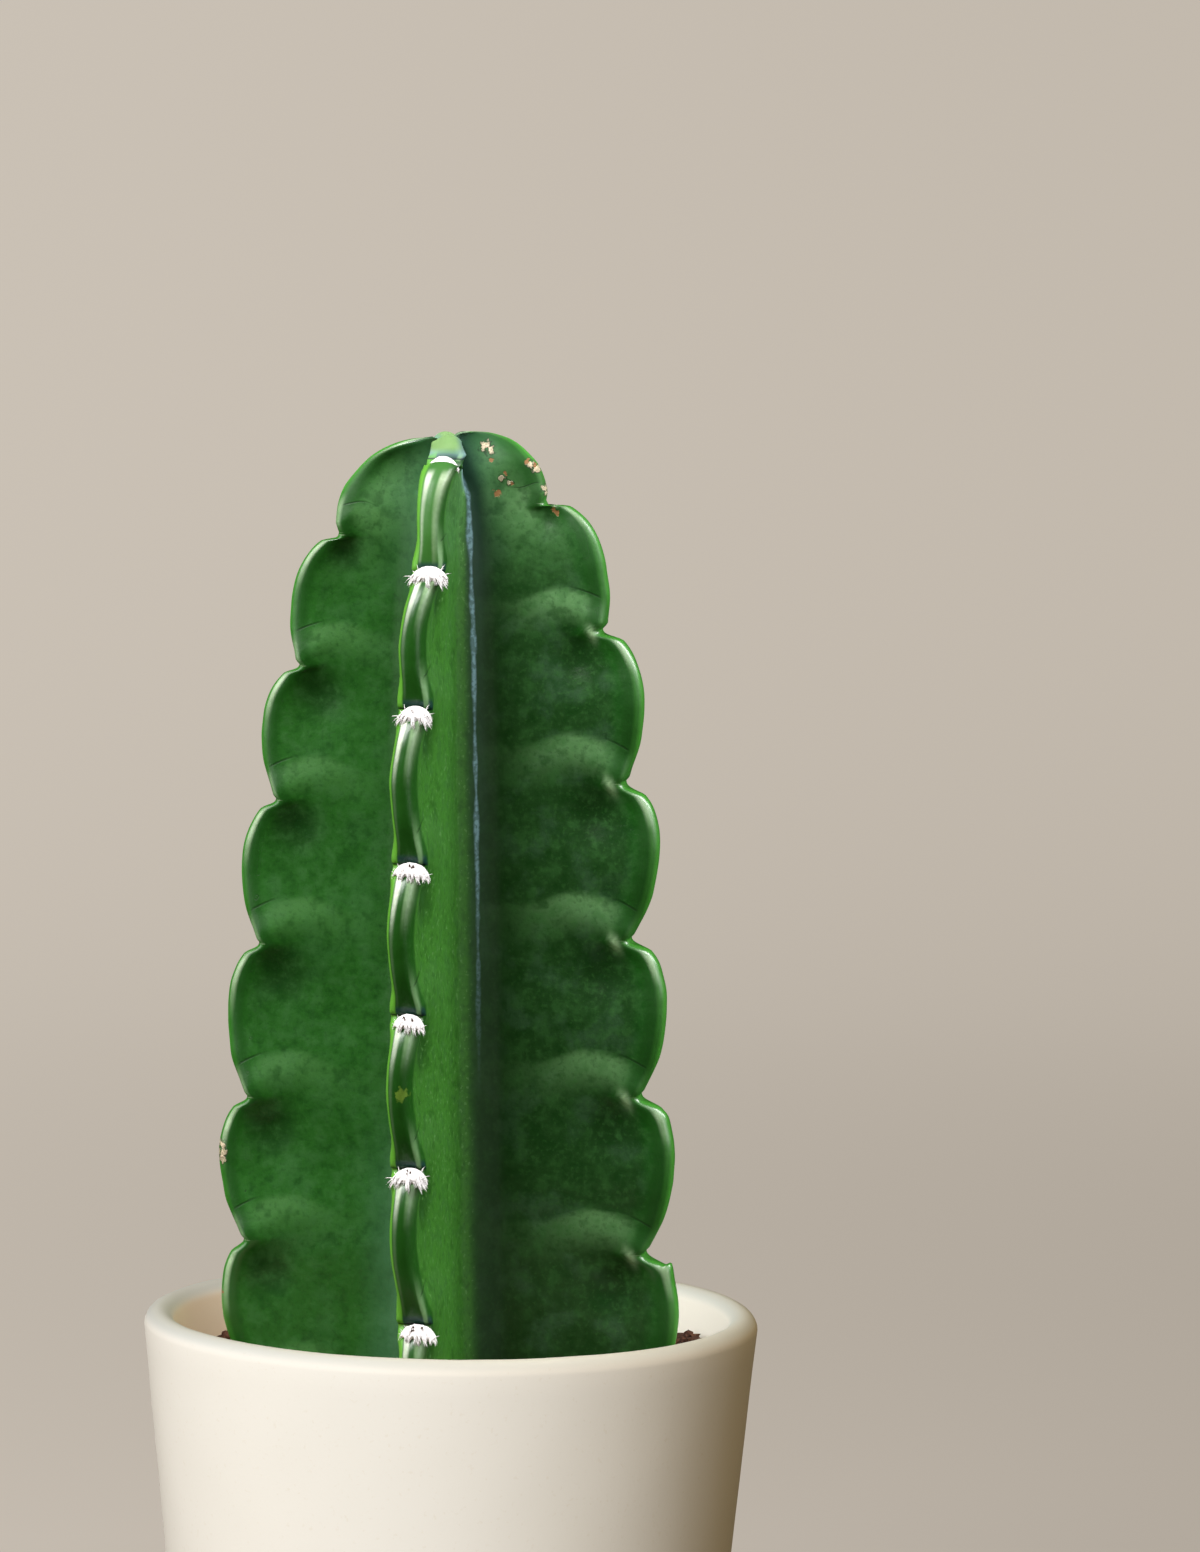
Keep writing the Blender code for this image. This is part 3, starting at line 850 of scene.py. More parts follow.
def valley(place):
    """Radius and depth of the valleys between the ribs."""
    mean = np.mean([np.interp(place, *rib_table(rib)[:2]) for rib in RIBS], axis=0)
    above = np.clip(place - FIRST_PLACE, 0, 1)
    sunk = mean + 7.0 * above * np.exp(-mean / 30)
    depth = BASE_DEPTH + (sunk - BASE_DEPTH) * np.clip((LAST_PLACE - place) / 0.5, 0, 1)
    return core_radius(depth) * above**0.8, depth


def gathered(rib, place):
    """Shifts evenly spaced places so that the rows of points gather at the notches."""
    inside = np.clip((place - FIRST_PLACE) * 2, 0, 1) * np.clip((LAST_PLACE - place) * 2, 0, 1)
    return place - 0.5 * inside * np.sin(math.tau * (place - rib.first)) / math.tau


def heading(rib, depth):
    """The way a rib points, in radians anticlockwise from +X."""
    twist = 6.8 * np.exp(-((depth / 35.0) ** 2)) + 14.0 * np.exp(-((depth / 4.5) ** 2))
    twist = twist + 2.5 * np.clip((depth - 170) / 50, 0, 1)
    return np.radians(FRONT_AZIMUTH + rib.turn + twist)


# %% [markdown]
# On the flanks, a crease arches inwards from just above each notch. The flank swells below it, and
# The skin paints light onto the swells, partly as a paler bloom, a painted glint onto the folds and
# painted shade into the dimples, so the formula also tells the skin's colours where they lie, and
# how high above the nearest crease a point is.

# %% Relief on the flanks
USUAL_STEP = 36.0
ARCH_HEIGHT = 9.0
DIMPLE_DEPTH = 1.6
FOLD_HEIGHT = 0.45
NO_CREASE = 25.0


def relief(rib, along, depth, bloom):
    """Swelling in mm, height above the nearest crease, its bloom and painted light, below zero where
    painted shade lies, and how much of a fold it is.
    """
    total, bloom_and_painted_shading, lip = np.zeros_like(depth), np.zeros_like(depth), np.zeros_like(depth)
    crease = np.full_like(depth, NO_CREASE)
    start, drift = rib.arch
    for index, (before, notch, radius) in enumerate(zip((CROWN_DIP, *rib.depths), rib.depths, rib.radii)):
        # Young lobes are small, and so is all that lies on them.
        size = min(1.0, (notch - before) / USUAL_STEP)
        above = (notch - depth) / size
        side = (radius + 5.0 - along) / size
        # The crease arches up from the notch, then turns down again further in.
        arch = start + drift * index + ARCH_HEIGHT * (1 - np.exp(-side / 9.0))
        arch = arch - 4.5 * soft((side - 17) / 14)
        below = arch - above
        # The swell rises softly below the crease, with a small sharp step right at it.
        swell = soft(below / 7) * (1 - soft((below - 6) / 17))
        swell = swell + 0.07 * soft(below / 0.9) * (1 - soft(below / 6))
        reach = soft(side / 6) * (1 - 0.8 * soft((side - 14) / 16))
        dimple = np.exp(-(((side - 12.0) / 6.0) ** 2 + ((above + 7.5) / 7.0) ** 2))
        total += size * ((0.55 + 0.55 * bloom) * swell * reach - DIMPLE_DEPTH * dimple)
        near = soft((side - 4.5) / 7) * (1 - 0.8 * soft((side - 16) / 18))
        # Painted light on the swells, partly a paler bloom, and painted shade in the dimples.
        bloom_and_painted_shading += (2 - size) * soft(below / 1.8) * (1 - soft((below - 2) / 12)) * near
        bloom_and_painted_shading -= 0.9 * dimple
        if rib is RIGHT_RIB:
            # The fold is a short ridge that leans inwards as it goes up.
            aslant = side - 8.3 - 0.35 * above
            lip += np.exp(-((aslant / 1.0) ** 2) - ((above + 0.4) / 2.1) ** 2)
            # Just below the right rib's topmost notch a painted highlight lies on the swell.
            if index == 0:
                bloom_and_painted_shading += 0.9 * np.exp(-(((along - 18.5) / 5.0) ** 2) - ((depth - 18.5) / 4.5) ** 2)
        crease = np.where(np.abs(above - arch) < np.abs(crease), above - arch, crease)
    return total + FOLD_HEIGHT * lip, crease, bloom_and_painted_shading, lip


# %% [markdown]
# A cut across half a rib starts at the middle of its crest, turns round the margin, which is a blunt
# bead about 6 mm wide, and runs in to the valley, where the rib thickens. The bead follows each lobe,
# but the flank's thickness doesn't: it depends on how far out from the valley a point lies, so that a
# notch bites into the margin alone. The bead is widest at the notches.

# %% Half a cut across a rib
MARGIN_HALF_WIDTH = 3.15
BEAD = 5.0
ROUNDNESS = 0.85


def half_section(radius, usual_radius, bead, hollow, half_width, widening, valley_radius):
    """One flank's outline at a rib's crest, from its middle in to the valley: along, across, outward."""
    shoulder = radius - bead
    foot = valley_radius / math.sqrt(2)
    for turn in np.linspace(0, math.pi / 2, MARGIN_STEPS, endpoint=False):
        out, over = math.cos(turn) ** ROUNDNESS, math.sin(turn) ** ROUNDNESS
        yield shoulder + bead * out - hollow * math.cos(turn) ** 3, (half_width + widening) * over, 1.0
    for t in np.linspace(0, 1, FLANK_STEPS + 1) ** 1.15:
        along = shoulder + (foot - shoulder) * t
        inside = np.clip(1 - (along - foot) / np.maximum(usual_radius - BEAD - foot, 1.0), 0, 1)
        thickening = 0.3 * inside**1.5 + 0.7 * inside**15
        across = half_width + (foot - half_width) * thickening
        yield along, across + widening * math.exp(-((t / 0.12) ** 2)), 1 - t


# %% [markdown]
# The cuts of one flank, placed one above another along the rib, make its surface. Beside its place
# each point keeps what the skin's colours follow: how far it is from the margin and from the valley,
# where it lies on its lobe, and what the relief says. Near the crown the margins are rounded off, and
# each crest sways a little to one side at its notches and to the other between them.

# %% One flank of a rib
def half_rib(rib, place, side):
    """One flank at each place: x, y, depth, then what the skin's colours follow."""
    crest_place = gathered(rib, place)
    radius, depth, share, ear = crest(rib, crest_place)
    valley_radius, valley_depth = valley(place)
    young = np.clip(0.72 + radius / 60, 0, 1) * np.clip(radius / 5, 0, 1)
    newest = np.clip((rib.first - crest_place) * 6, 0, 1) * (rib.first == 0)
    half_width = MARGIN_HALF_WIDTH * young * (1 + 0.34 * newest)
    half_width = half_width + 0.9 * (rib.first == 0) * np.exp(-(((crest_place - 0.15) / 0.28) ** 2))
    young_top = (rib.first == 0) * (crest_place >= 0) * np.exp(-((crest_place / 0.12) ** 2))
    # Beside the notches the bead is wider and lower, and hollow in the middle just above them.
    widening = 0.7 * young * np.exp(-((share / 0.13) ** 2))
    widening += 0.7 * young * np.exp(-(((1 - share) / 0.13) ** 2))
    usual_radius = np.interp(crest_place, *rib_table(rib)[::2]) + 3.0
    at_notch = np.exp(-((np.minimum(share, 1 - share) / 0.07) ** 2))
    bead = np.minimum(BEAD - 2.4 * at_notch, 0.45 * radius)
    hollow = 0.7 * young * soft((share - 0.7) / 0.25)
    tone, bloom = rib.flanks[side > 0]
    columns = []
    cut = half_section(radius, usual_radius, bead, hollow, half_width, widening, valley_radius)
    for along, across, outward in cut:
        level = valley_depth + (depth - valley_depth) * outward
        rounded = np.clip(across / half_width, 0, 1) ** 2 * outward
        level = level + (1.7 * newest + 1.5 * young_top) * rounded
        level = level - ear * np.exp(-(((radius - along) / 2.2) ** 2))
        swell, crease, bloom_and_painted_shading, lip = relief(rib, along, level, bloom)
        raised = swell * young * min(1, outward * 4)
        lateral = side * (across + raised * np.clip(across / 2, 0, 1))
        lateral = lateral + SWAY * np.cos(math.tau * (crest_place - rib.first)) * young * outward
        way = heading(rib, level)
        x = along * np.cos(way) - lateral * np.sin(way)
        y = along * np.sin(way) + lateral * np.cos(way)
        margin = radius - along
        inward = along - valley_radius / math.sqrt(2)
        same = [np.full_like(x, value) for value in (tone, bloom, rib.wool == 1)]
        lateral_share = side * across / np.maximum(half_width, 0.5) * MARGIN_HALF_WIDTH
        followed = margin, inward, crease, bloom_and_painted_shading, lip, newest, lateral_share, share, *same
        columns.append(np.stack([x, y, level, *followed], -1))
    return np.stack(columns, 1)


# %% [markdown]
# The flanks of the four ribs, side by side, give one closed ring of points for each row. A flat grid
# with as many rows and columns is rolled up by moving each corner to its point. Its first and last
# columns then meet and are welded, its ends are closed, and its attributes keep what the skin's
# colours follow. Last, a Displace modifier moves the skin by a fraction of a millimetre.

# %% Roll up the stem
FOLLOWED = (
    "margin", "inward", "crease", "bloom_and_painted_shading", "lip", "newest", "lateral", "share", "tone", "bloom", "crested",
)

lobes = LAST_PLACE - FIRST_PLACE
place = LAST_PLACE - lobes * np.linspace(0, 1, round(lobes * ROWS_PER_LOBE) + 1)
around = []
for rib in RIBS:
    around += [half_rib(rib, place, -1)[:, :0:-1], half_rib(rib, place, 1)[:, :-1]]
skin_points = np.concatenate(around, 1)
skin_points[..., 2] = CROWN_HEIGHT - skin_points[..., 2]
skin_points[..., 0] += LEAN * (skin_points[..., 2] - POT_HEIGHT)
rows, columns = skin_points.shape[:2]

pick()
bpy.ops.mesh.primitive_grid_add(x_subdivisions=columns, y_subdivisions=rows - 1, size=1)
stem = added("cactus_stem")
flat = np.empty(len(stem.data.vertices) * 3)
stem.data.vertices.foreach_get("co", flat)
flat = flat.reshape(-1, 3)
column = np.rint((flat[:, 0] + 0.5) * columns).astype(int) % columns
row = np.rint((flat[:, 1] + 0.5) * (rows - 1)).astype(int)
rolled = skin_points[row, column]
stem.data.vertices.foreach_set("co", (rolled[:, :3] * MM).ravel())
for index, name in enumerate(FOLLOWED):
    stem.data.attributes.new(name, "FLOAT", "POINT").data.foreach_set("value", rolled[:, 3 + index])
edit(stem)
bpy.ops.mesh.remove_doubles(threshold=0.00002)
close_ends(stem)
unevenness = bpy.data.textures.new("grown_unevenness", "CLOUDS")
unevenness.noise_scale = 0.014
grown = stem.modifiers.new("grown", "DISPLACE")
grown.texture = unevenness
grown.texture_coords = "LOCAL"
grown.strength = 0.0007
apply_modifiers(stem)
bpy.ops.object.shade_smooth()
print("stem:", triangles(stem), "triangles")

# %% [markdown]
# ## The skin
#
# The skin is a deep green under clear wax. It is built up as a painter would, one thin layer over
# another, each laid where the stem's attributes or some noise say. First comes the green itself,
# lighter towards the crown, yellower on one flank of the front rib and dulled by bloom on others. Then
# come the swells, paler with bloom and with painted light, the dimples, darkened with painted shade,
# and the mottling at two sizes.

# %% Colour the skin
PAINTED_SHADE_GREEN = colour(0.006, 0.034, 0.005)

skin = Finish(
    "cactus_skin", Specular_IOR_Level=0.3, Coat_Roughness=0.3, Coat_IOR=1.6,
    Subsurface_Weight=0.04, Subsurface_Scale=0.003, Subsurface_Radius=(0.6, 1.0, 0.3),
)
margin, inward, crease, bloom_and_painted_shading, lip, newest, lateral, share, tone, bloom, crested = (
    skin.attribute(name) for name in FOLLOWED
)
height = skin.axis("Z")
broad = skin.clouds(0.018, 3.0)
cloudy = skin.clouds(0.009, 5.0)
mottle = skin.clouds(0.0035, 4.0)
fine = skin.clouds(0.0011, 3.0)

on_flank = skin.step(margin, 4.0, 9.0)
skin.base = skin.mix(broad, colour(0.007, 0.078, 0.007), colour(0.017, 0.130, 0.012))
skin.lay(tone, colour(0.055, 0.225, 0.026))
skin.lay(bloom * on_flank * 0.9, colour(0.017, 0.062, 0.015))
skin.lay(skin.step(cloudy, 0.48, 0.66) * bloom * on_flank * 0.6, colour(0.050, 0.125, 0.060))
skin.lay(skin.step(height, 0.312, 0.348) * on_flank * 0.9, colour(0.080, 0.235, 0.070))
# Painted light on the swells, partly a paler bloom, and painted shade in the dimples.
swell = skin.mix(bloom, colour(0.070, 0.210, 0.052), colour(0.118, 0.275, 0.105))
skin.lay(bloom_and_painted_shading * (0.3 + 0.7 * bloom), swell)
skin.lay(skin.step(bloom_and_painted_shading, 0.0, -0.8) * 0.65, PAINTED_SHADE_GREEN)
skin.lay(skin.step(mottle, 0.48, 0.68) * (0.5 - 0.1 * tone), colour(0.036, 0.140, 0.032))
skin.lay(skin.step(mottle, 0.5, 0.3) * (0.5 - 0.15 * tone), colour(0.006, 0.050, 0.006))
skin.lay(skin.step(fine, 0.52, 0.72) * (0.08 + 0.18 * bloom), colour(0.060, 0.200, 0.050))
skin.lay(skin.step(fine, 0.48, 0.3) * 0.3, colour(0.006, 0.050, 0.005))
skin.lay(skin.step(fine, 0.60, 0.70) * skin.step(tone, 0.2, 0.9) * 0.45, colour(0.180, 0.420, 0.130))

# %% [markdown]
# The margins are darker than the flanks. On the side ribs they end in a thin bright edge of painted
# rim light, and a whitish painted highlight follows the shoulder and the tip of each lobe. The folds
# of the right rib get a pale painted glint too.

# %% Colour the margins
on_side = 1 - crested
at_tip = skin.step(share, 0.78, 0.90) * skin.step(share, 0.995, 0.96)
rim_ends = skin.step(share, 0.55, 0.2) + 0.55 * at_tip
# A whitish painted highlight on each lobe's shoulder and tip.
side_rim_highlight = on_side * rim_ends * skin.step(margin, 2.7, 1.6) * skin.step(margin, 0.5, 1.0)
side_rim_highlight = side_rim_highlight * skin.step(share, 0.02, 0.14) * (1 - bloom * skin.step(share, 0.14, 0.32))
side_rim_highlight = side_rim_highlight * (0.35 + mottle)
skin.lay(skin.step(margin, 6.2, 3.8) * 0.85, colour(0.008, 0.075, 0.005))
# Painted rim light: the side ribs' outer edge is painted brighter, brightest at the very edge.
skin.lay(on_side * skin.step(margin, 2.4, 1.2) * 0.7, colour(0.030, 0.180, 0.016))
skin.lay(side_rim_highlight * (0.95 - 0.45 * bloom), colour(0.480, 0.660, 0.420))
skin.lay(on_side * skin.step(margin, 1.1, 0.2) * 0.8, colour(0.060, 0.300, 0.030))
# A pale painted glint on the folds of the right rib.
skin.lay(lip * 0.85, colour(0.400, 0.620, 0.350))

# %% [markdown]
# On the front and back ribs, whose wool is full and white, the crest is dark green between two pale
# painted highlights. They are strongest under the wool and fade as they run down, sooner on the lower
# lobes. The crest has a yellow green edge of painted light on one side, a faint painted highlight
# along the ridge on the other, and a painted shadow above the next wool, darkest right over it.

# %% Colour the crests
on_crest = crested * skin.step(margin, 6.8, 4.8)
near_crown = skin.step(height, 0.316, 0.328)
below_crown = skin.step(height, 0.3468, 0.3440)
shorter = 0.14 * skin.step(height, 0.26, 0.20)
under_wool = (skin.step(share + shorter, 0.55, 0.07) + 0.3 * near_crown) * (0.62 + 0.7 * fine)
# Painted shadow just above each tuft, where the lobe's tip overhangs it, darkest right over the wool.
painted_shadow_above_wool = crested * skin.step(share, 0.915, 0.95) * skin.step(margin, 4.0, 2.5)
# Two painted highlights run down the crest below each tuft.
left_crest_highlight = skin.step(lateral, -2.0, -1.5) * skin.step(lateral + 1.3 * share, 0.1, -0.7) * below_crown
right_crest_highlight = skin.step(lateral, 0.6, 1.3) * skin.step(lateral + 1.6 * share, 3.8, 2.4) * below_crown
# A faint painted highlight along the crest's ridge on the right.
right_ridge_highlight = skin.step(lateral, 1.9, 2.4) * skin.step(lateral, 3.3, 2.8) * skin.step(share, 0.62, 0.9)
crest_green = skin.mix(near_crown, colour(0.011, 0.078, 0.006), colour(0.045, 0.170, 0.028))
crest_highlight_green = skin.mix(near_crown, colour(0.270, 0.430, 0.230), colour(0.480, 0.620, 0.400))
skin.lay(on_crest * skin.step(lateral, 3.4, 1.4) * 0.85, crest_green)
skin.lay(on_crest * left_crest_highlight * (0.06 + 0.94 * under_wool), colour(0.700, 0.800, 0.640))
skin.lay(on_crest * right_crest_highlight * under_wool * 0.85, crest_highlight_green)
skin.lay(painted_shadow_above_wool * 0.8, colour(0.010, 0.044, 0.046))
skin.lay(on_crest * right_ridge_highlight * 0.75, colour(0.210, 0.400, 0.180))
# Painted light: a yellow green edge on the left of the crest.
skin.lay(on_crest * skin.step(lateral, -1.8, -2.3) * 0.9, colour(0.120, 0.390, 0.035))
skin.lay(painted_shadow_above_wool * skin.step(share, 0.972, 0.988), colour(0.001, 0.006, 0.006))

# %% [markdown]
# Deep between the ribs painted shade darkens the green, most of all near the crown, and bloom that
# nothing rubs off stays in two of the valleys as a bluish powder. One flank of the left rib is lighter
# at its foot. The newest lobes are light green, bluish at their feet.

# %% Colour the valleys and the crown
# Painted shade deep in the valleys.
painted_valley_shade = skin.step(inward, 13, 1.0) * (0.3 + 0.4 * bloom) * skin.step(height, 0.345, 0.31)
shaded_top = bloom * skin.step(inward, 5.0, 1.2) * skin.step(height, 0.300, 0.335)
teal_top = (1 - tone) * skin.step(inward, 11.0, 3.0) * skin.step(height, 0.305, 0.345) * (1 - newest)
on_left_rib = skin.step(tone + bloom, 0.47, 0.42)
left_foot = skin.step(inward, 15.0, 4.0) * skin.step(height, 0.20, 0.15) * on_left_rib
slate = bloom * skin.step(inward, 3.0, 0.6) * skin.step(height, 0.2, 0.27)
powder = skin.step(inward + 1.2 * (cloudy - 0.5), 0.55, 0.05) * skin.step(height, 0.19, 0.27)
powder = powder * skin.step(tone + bloom, 0.75, 0.88)
skin.lay(painted_valley_shade, PAINTED_SHADE_GREEN)
skin.lay(shaded_top * 0.95, colour(0.005, 0.024, 0.016))
skin.lay(teal_top * 0.35, colour(0.022, 0.085, 0.050))
skin.lay(left_foot * (0.3 + 0.6 * mottle), colour(0.050, 0.160, 0.070))
skin.lay(slate * (0.05 + 0.3 * mottle), colour(0.028, 0.070, 0.060))
skin.lay(powder * (0.45 + 0.55 * skin.step(fine, 0.4, 0.6)), colour(0.20, 0.36, 0.42))
young_green = skin.mix(skin.step(lateral, 0.5, 3.5), colour(0.185, 0.330, 0.120), colour(0.15, 0.29, 0.25))
young_green = skin.mix(skin.step(height, 0.3512, 0.3492) * 0.8, young_green, colour(0.26, 0.42, 0.50))
skin.lay(newest * 0.9, young_green)

# %% [markdown]
# A thin line of painted shade marks the outer end of each crease, where it nears the margin.

# %% Draw the creases
painted_crease_shade = skin.step(crease, -0.3, 0.1) * skin.step(crease, 0.7, 0.2)
painted_crease_shade = painted_crease_shade * skin.step(margin, 1.5, 3.0) * skin.step(margin, 11.0, 5.0)
skin.lay(painted_crease_shade * 0.7, colour(0.006, 0.030, 0.005))

# %% [markdown]
# Old knocks have left corky scars: pale flakes and brown pits on the newest lobe of the right rib, a
# long one and a pit on the left margin, and one yellow patch on the front crest. Each is a place and
# a radius in millimetres, and the fine noise frays its edge. Each flake has a painted shadow round its
# edge. The places were measured from the front, so their depth counts for little.

# %% Scar the skin
DEPTH_COUNTS = 0.15
seen = skin.stretched((1, DEPTH_COUNTS, 1))


def spots(places, fraying=2.0, grown=1.0):
    """How far a point lies inside any of some small round places, told as x, y, z and radius in mm."""
    total = 0.0
    for x, y, z, radius in places:
        away = skin.measure("DISTANCE", seen, (x * MM, DEPTH_COUNTS * y * MM, z * MM))
        away = away + (fine - 0.5) * (fraying * radius * MM)
        total = skin.step(away, grown * radius * MM, 0.6 * grown * radius * MM) + total
    return total


PALE_FLAKES = (
    (5.3, -3.7, 351.3, 1.2), (6.4, -3.8, 350.5, 1.1), (19.9, -4.2, 341.4, 0.9), (20.4, -4.2, 340.3, 0.8),
    (16.4, -3.4, 347.2, 0.9), (17.9, -3.4, 346.0, 1.1), (9.3, -4.4, 343.7, 0.8), (11.5, -4.3, 342.5, 0.7),
    (-57.1, 9.2, 178.5, 1.0), (-57.0, 9.0, 176.6, 1.1), (-56.9, 9.0, 174.8, 0.9),
)
BROWN_PITS = (
    (8.6, -4.3, 340.1, 1.1), (7.0, -4.2, 348.0, 0.6), (22.7, -5.2, 336.0, 0.9), (17.4, -3.4, 346.9, 0.6),
    (15.6, -3.4, 347.8, 0.6), (10.3, -4.3, 345.0, 0.6), (11.9, -4.3, 342.2, 0.5),
    (-56.8, 6.6, 141.6, 0.8),
)
YELLOW_PATCH = ((-11.2, -54.5, 200.2, 1.8),)
flakes, pits = spots(PALE_FLAKES, 3.4), spots(BROWN_PITS, 3.0)
skin.lay(spots(YELLOW_PATCH) * 0.5, colour(0.240, 0.400, 0.050))
# Painted shadow round each flake.
skin.lay(spots(PALE_FLAKES, 3.4, 1.5) * 0.7, colour(0.006, 0.030, 0.006))
skin.lay(flakes * (0.5 + 0.5 * skin.step(fine, 0.4, 0.55)), colour(0.720, 0.600, 0.430))
skin.lay(pits, colour(0.280, 0.140, 0.055))

# %% [markdown]
# Clear wax lies on the margins, thickest on each lobe's shoulder, and is missing from the newest
# lobes and the scars. The flanks are half matte, and dull in the valleys and near the crown.

# %% Give the skin its gloss
shoulder = skin.step(share, 0.7, 0.25)
dry_crest = crested * (1 - 0.4 * skin.step(share, 0.55, 0.07))
waxy = skin.step(margin, 5.5, 3.0) * (1 - newest) * (1 - 0.9 * dry_crest)
glossy = 0.9 * waxy * (0.3 + 0.7 * shoulder) * (1 - flakes) * (1 - pits)
glossy = glossy * (1 - 0.75 * bloom * skin.step(height, 0.153, 0.147))
glossy = glossy * (1 - 0.85 * bloom * skin.step(share, 0.22, 0.42))
dull = 0.27 + 0.16 * mottle + 0.4 * skin.step(inward, 6.0, 2.0) + 0.2 * skin.step(height, 0.325, 0.345)
dull = dull + 0.2 * bloom * skin.step(share, 0.15, 0.40) * skin.step(margin, 7.0, 4.0)
skin.wear(Base_Color=skin.base, Roughness=dull, Coat_Weight=glossy)
skin.bump(fine * 0.5 + mottle - 0.4 * painted_crease_shade + 1.5 * flakes - pits, 0.0003, 0.4)
dress(stem, skin, on_plant)
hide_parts("cactus")
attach(stem, "root")
print("skin:", len(skin.tree.nodes), "nodes")

# %% [markdown]
# ## The wool
#
# An areole is a seat of short white wool in each notch. A strand is modelled once, as a three-sided
# taper that bows over, and set many times: the roots stand in a low arch, and the strands fan out
# sideways and down, as if combed, with one in twenty left standing. A soft cushion underneath fills
# the gaps.

# %% Model one strand
ROOT_RADIUS = 0.065
BOW = ((0.30, 0.30, 0.85), (0.65, 0.42, 0.6), (1.0, 0.36, 0.12))


def strand(name):
    """A strand one unit long that leaves its root upwards and bows over towards +X."""
    pick()
    bpy.ops.mesh.primitive_circle_add(
        vertices=3, radius=ROOT_RADIUS, rotation=(0, math.radians(35), 0)
    )
    piece = added(name)
    edit(piece)
    before, width = Vector((0, 0, 0)), 1.0
    for x, z, share in BOW:
        centre = Vector((x, 0, z))
        bpy.ops.mesh.extrude_region_move(TRANSFORM_OT_translate={"value": centre - before})
        bpy.ops.transform.resize(value=(share / width,) * 3, center_override=centre)
        before, width = centre, share
    pick(piece)
    return piece


hair = strand("strand")

# %% [markdown]
# A tuft is drawn flat in millimetres, with its own X across the rib, Y up along the crest and Z off
# the surface. Its strands gather in locks, each with a length and a direction of its own. The tuft is
# longer above its middle than below, and its ends curl back around the crest.
#
# Three tufts are dealt out at random over the front and back ribs. The topmost notch of each has a
# young one, small and neat, and the side ribs have a worn one, short and ragged.

# %% Model the tufts
CURL = 0.05
LOCKS = 10
STANDING_SHARE = 0.05


def cushion(half_width, half_length, dome, lean, arch):
    """A half moon of wool, round above and nearly straight below. The arch bends its ends down."""
    pick()
    bpy.ops.mesh.primitive_uv_sphere_add(segments=24, ring_count=12, radius=1)
    piece = added("cushion")
    for vertex in piece.data.vertices:
        wobble = 1 + 0.1 * noise.noise(vertex.co * 2.5 + Vector((rng.uniform(0, 9), 0, 0)))
        x, y, z = vertex.co * wobble
        x = x * half_width + lean
        y = ((1.25 if y > 0 else 0.35) * y - 0.4) * half_length - arch * x * x
        vertex.co = (x, y, z * dome - CURL * x * x)
    return piece


def tuft(name, strands, half_width=4.5, half_length=2.6, long=2.8, ragged=1.0, lean=1.3, arch=0.0):
    """A cushion under a fringe that is combed down and outwards, in millimetres."""
    dome = 0.42 * half_length
    locks = [(rng.normal(0, 13 * ragged), rng.uniform(0.5, 1.3)) for _ in range(LOCKS)]
    pieces = [cushion(half_width * 0.95, half_length, dome, lean, arch)]
    for _ in range(strands):
        lock = rng.integers(LOCKS)
        u, v = np.clip((lock + 0.5 + rng.normal(0, 0.17)) / LOCKS * 2 - 1, -1, 1), rng.uniform(-0.8, 0.85)
        across = math.sqrt(1 - u * u)
        x = 0.92 * half_width * u + lean
        y = half_length * ((1.25 if v > 0 else 0.4) * v * across - 0.4) - arch * x * x
        root = dome * across * math.sqrt(1 - v * v) - CURL * x * x - rng.uniform(0.1, 0.5)
        fan = math.radians(-90 + 30 * u + locks[lock][0] + rng.normal(0, 6 * ragged))
        if rng.random() < STANDING_SHARE:
            fan = math.radians(90 - 60 * u + rng.normal(0, 20))
        length = long * rng.uniform(0.6, 1.1) * locks[lock][1] * (1.0 - 0.25 * u * u)
        tilt = Matrix.Rotation(rng.normal(0.35, 0.18), 4, "Y")
        lie = Matrix.Translation((x, y, root)) @ Matrix.Rotation(fan, 4, "Z") @ tilt
        pieces.append(copy_of(hair, lie @ Matrix.Scale(length, 4)))
    made = join(name, pieces)
    made.data.transform(Matrix.Scale(MM, 4))
    return made


tufts = [tuft(f"tuft_{i}", 200) for i in range(3)]
young_tuft = tuft("tuft_young", 200, 4.2, 1.9, 1.2, 0.5, -0.1, 0.09)
worn_tuft = tuft("tuft_worn", 110, 3.6, 1.5, 1.9, 1.2, 0.0)
print("tuft:", triangles(tufts[0]), "triangles")

# %% [markdown]
# The spines of this plant are worn down to brown stubs that hardly pass the wool. One small cone
# stands for all of them.

# %% Model the stubs of the spines
STUB_HEIGHT = 1.05

pick()
bpy.ops.mesh.primitive_cone_add(vertices=6, radius1=0.34 * MM, radius2=0.12 * MM, depth=1.0 * MM)
stub = added("stub")


def stubs(count):
    """Places for stubs in the upper middle of a tuft, as matrices."""
    for _ in range(count):
        x, y = rng.uniform(-0.6, 2.4), rng.uniform(-0.4, 0.9)
        lean = Matrix.Rotation(rng.uniform(-0.5, 0.5), 4, "X")
        yield Matrix.Translation(Vector((x, y, STUB_HEIGHT)) * MM) @ lean


# %% [markdown]
# The tufts go onto the crest, each turned to stand off it. Those on the side ribs are old and worn,
# and sit deeper, so that they hardly show from the front. One more young tuft closes the heart of
# the crown.

# %% Seat the tufts on the ribs
AREOLE_SLOPE = 0.7


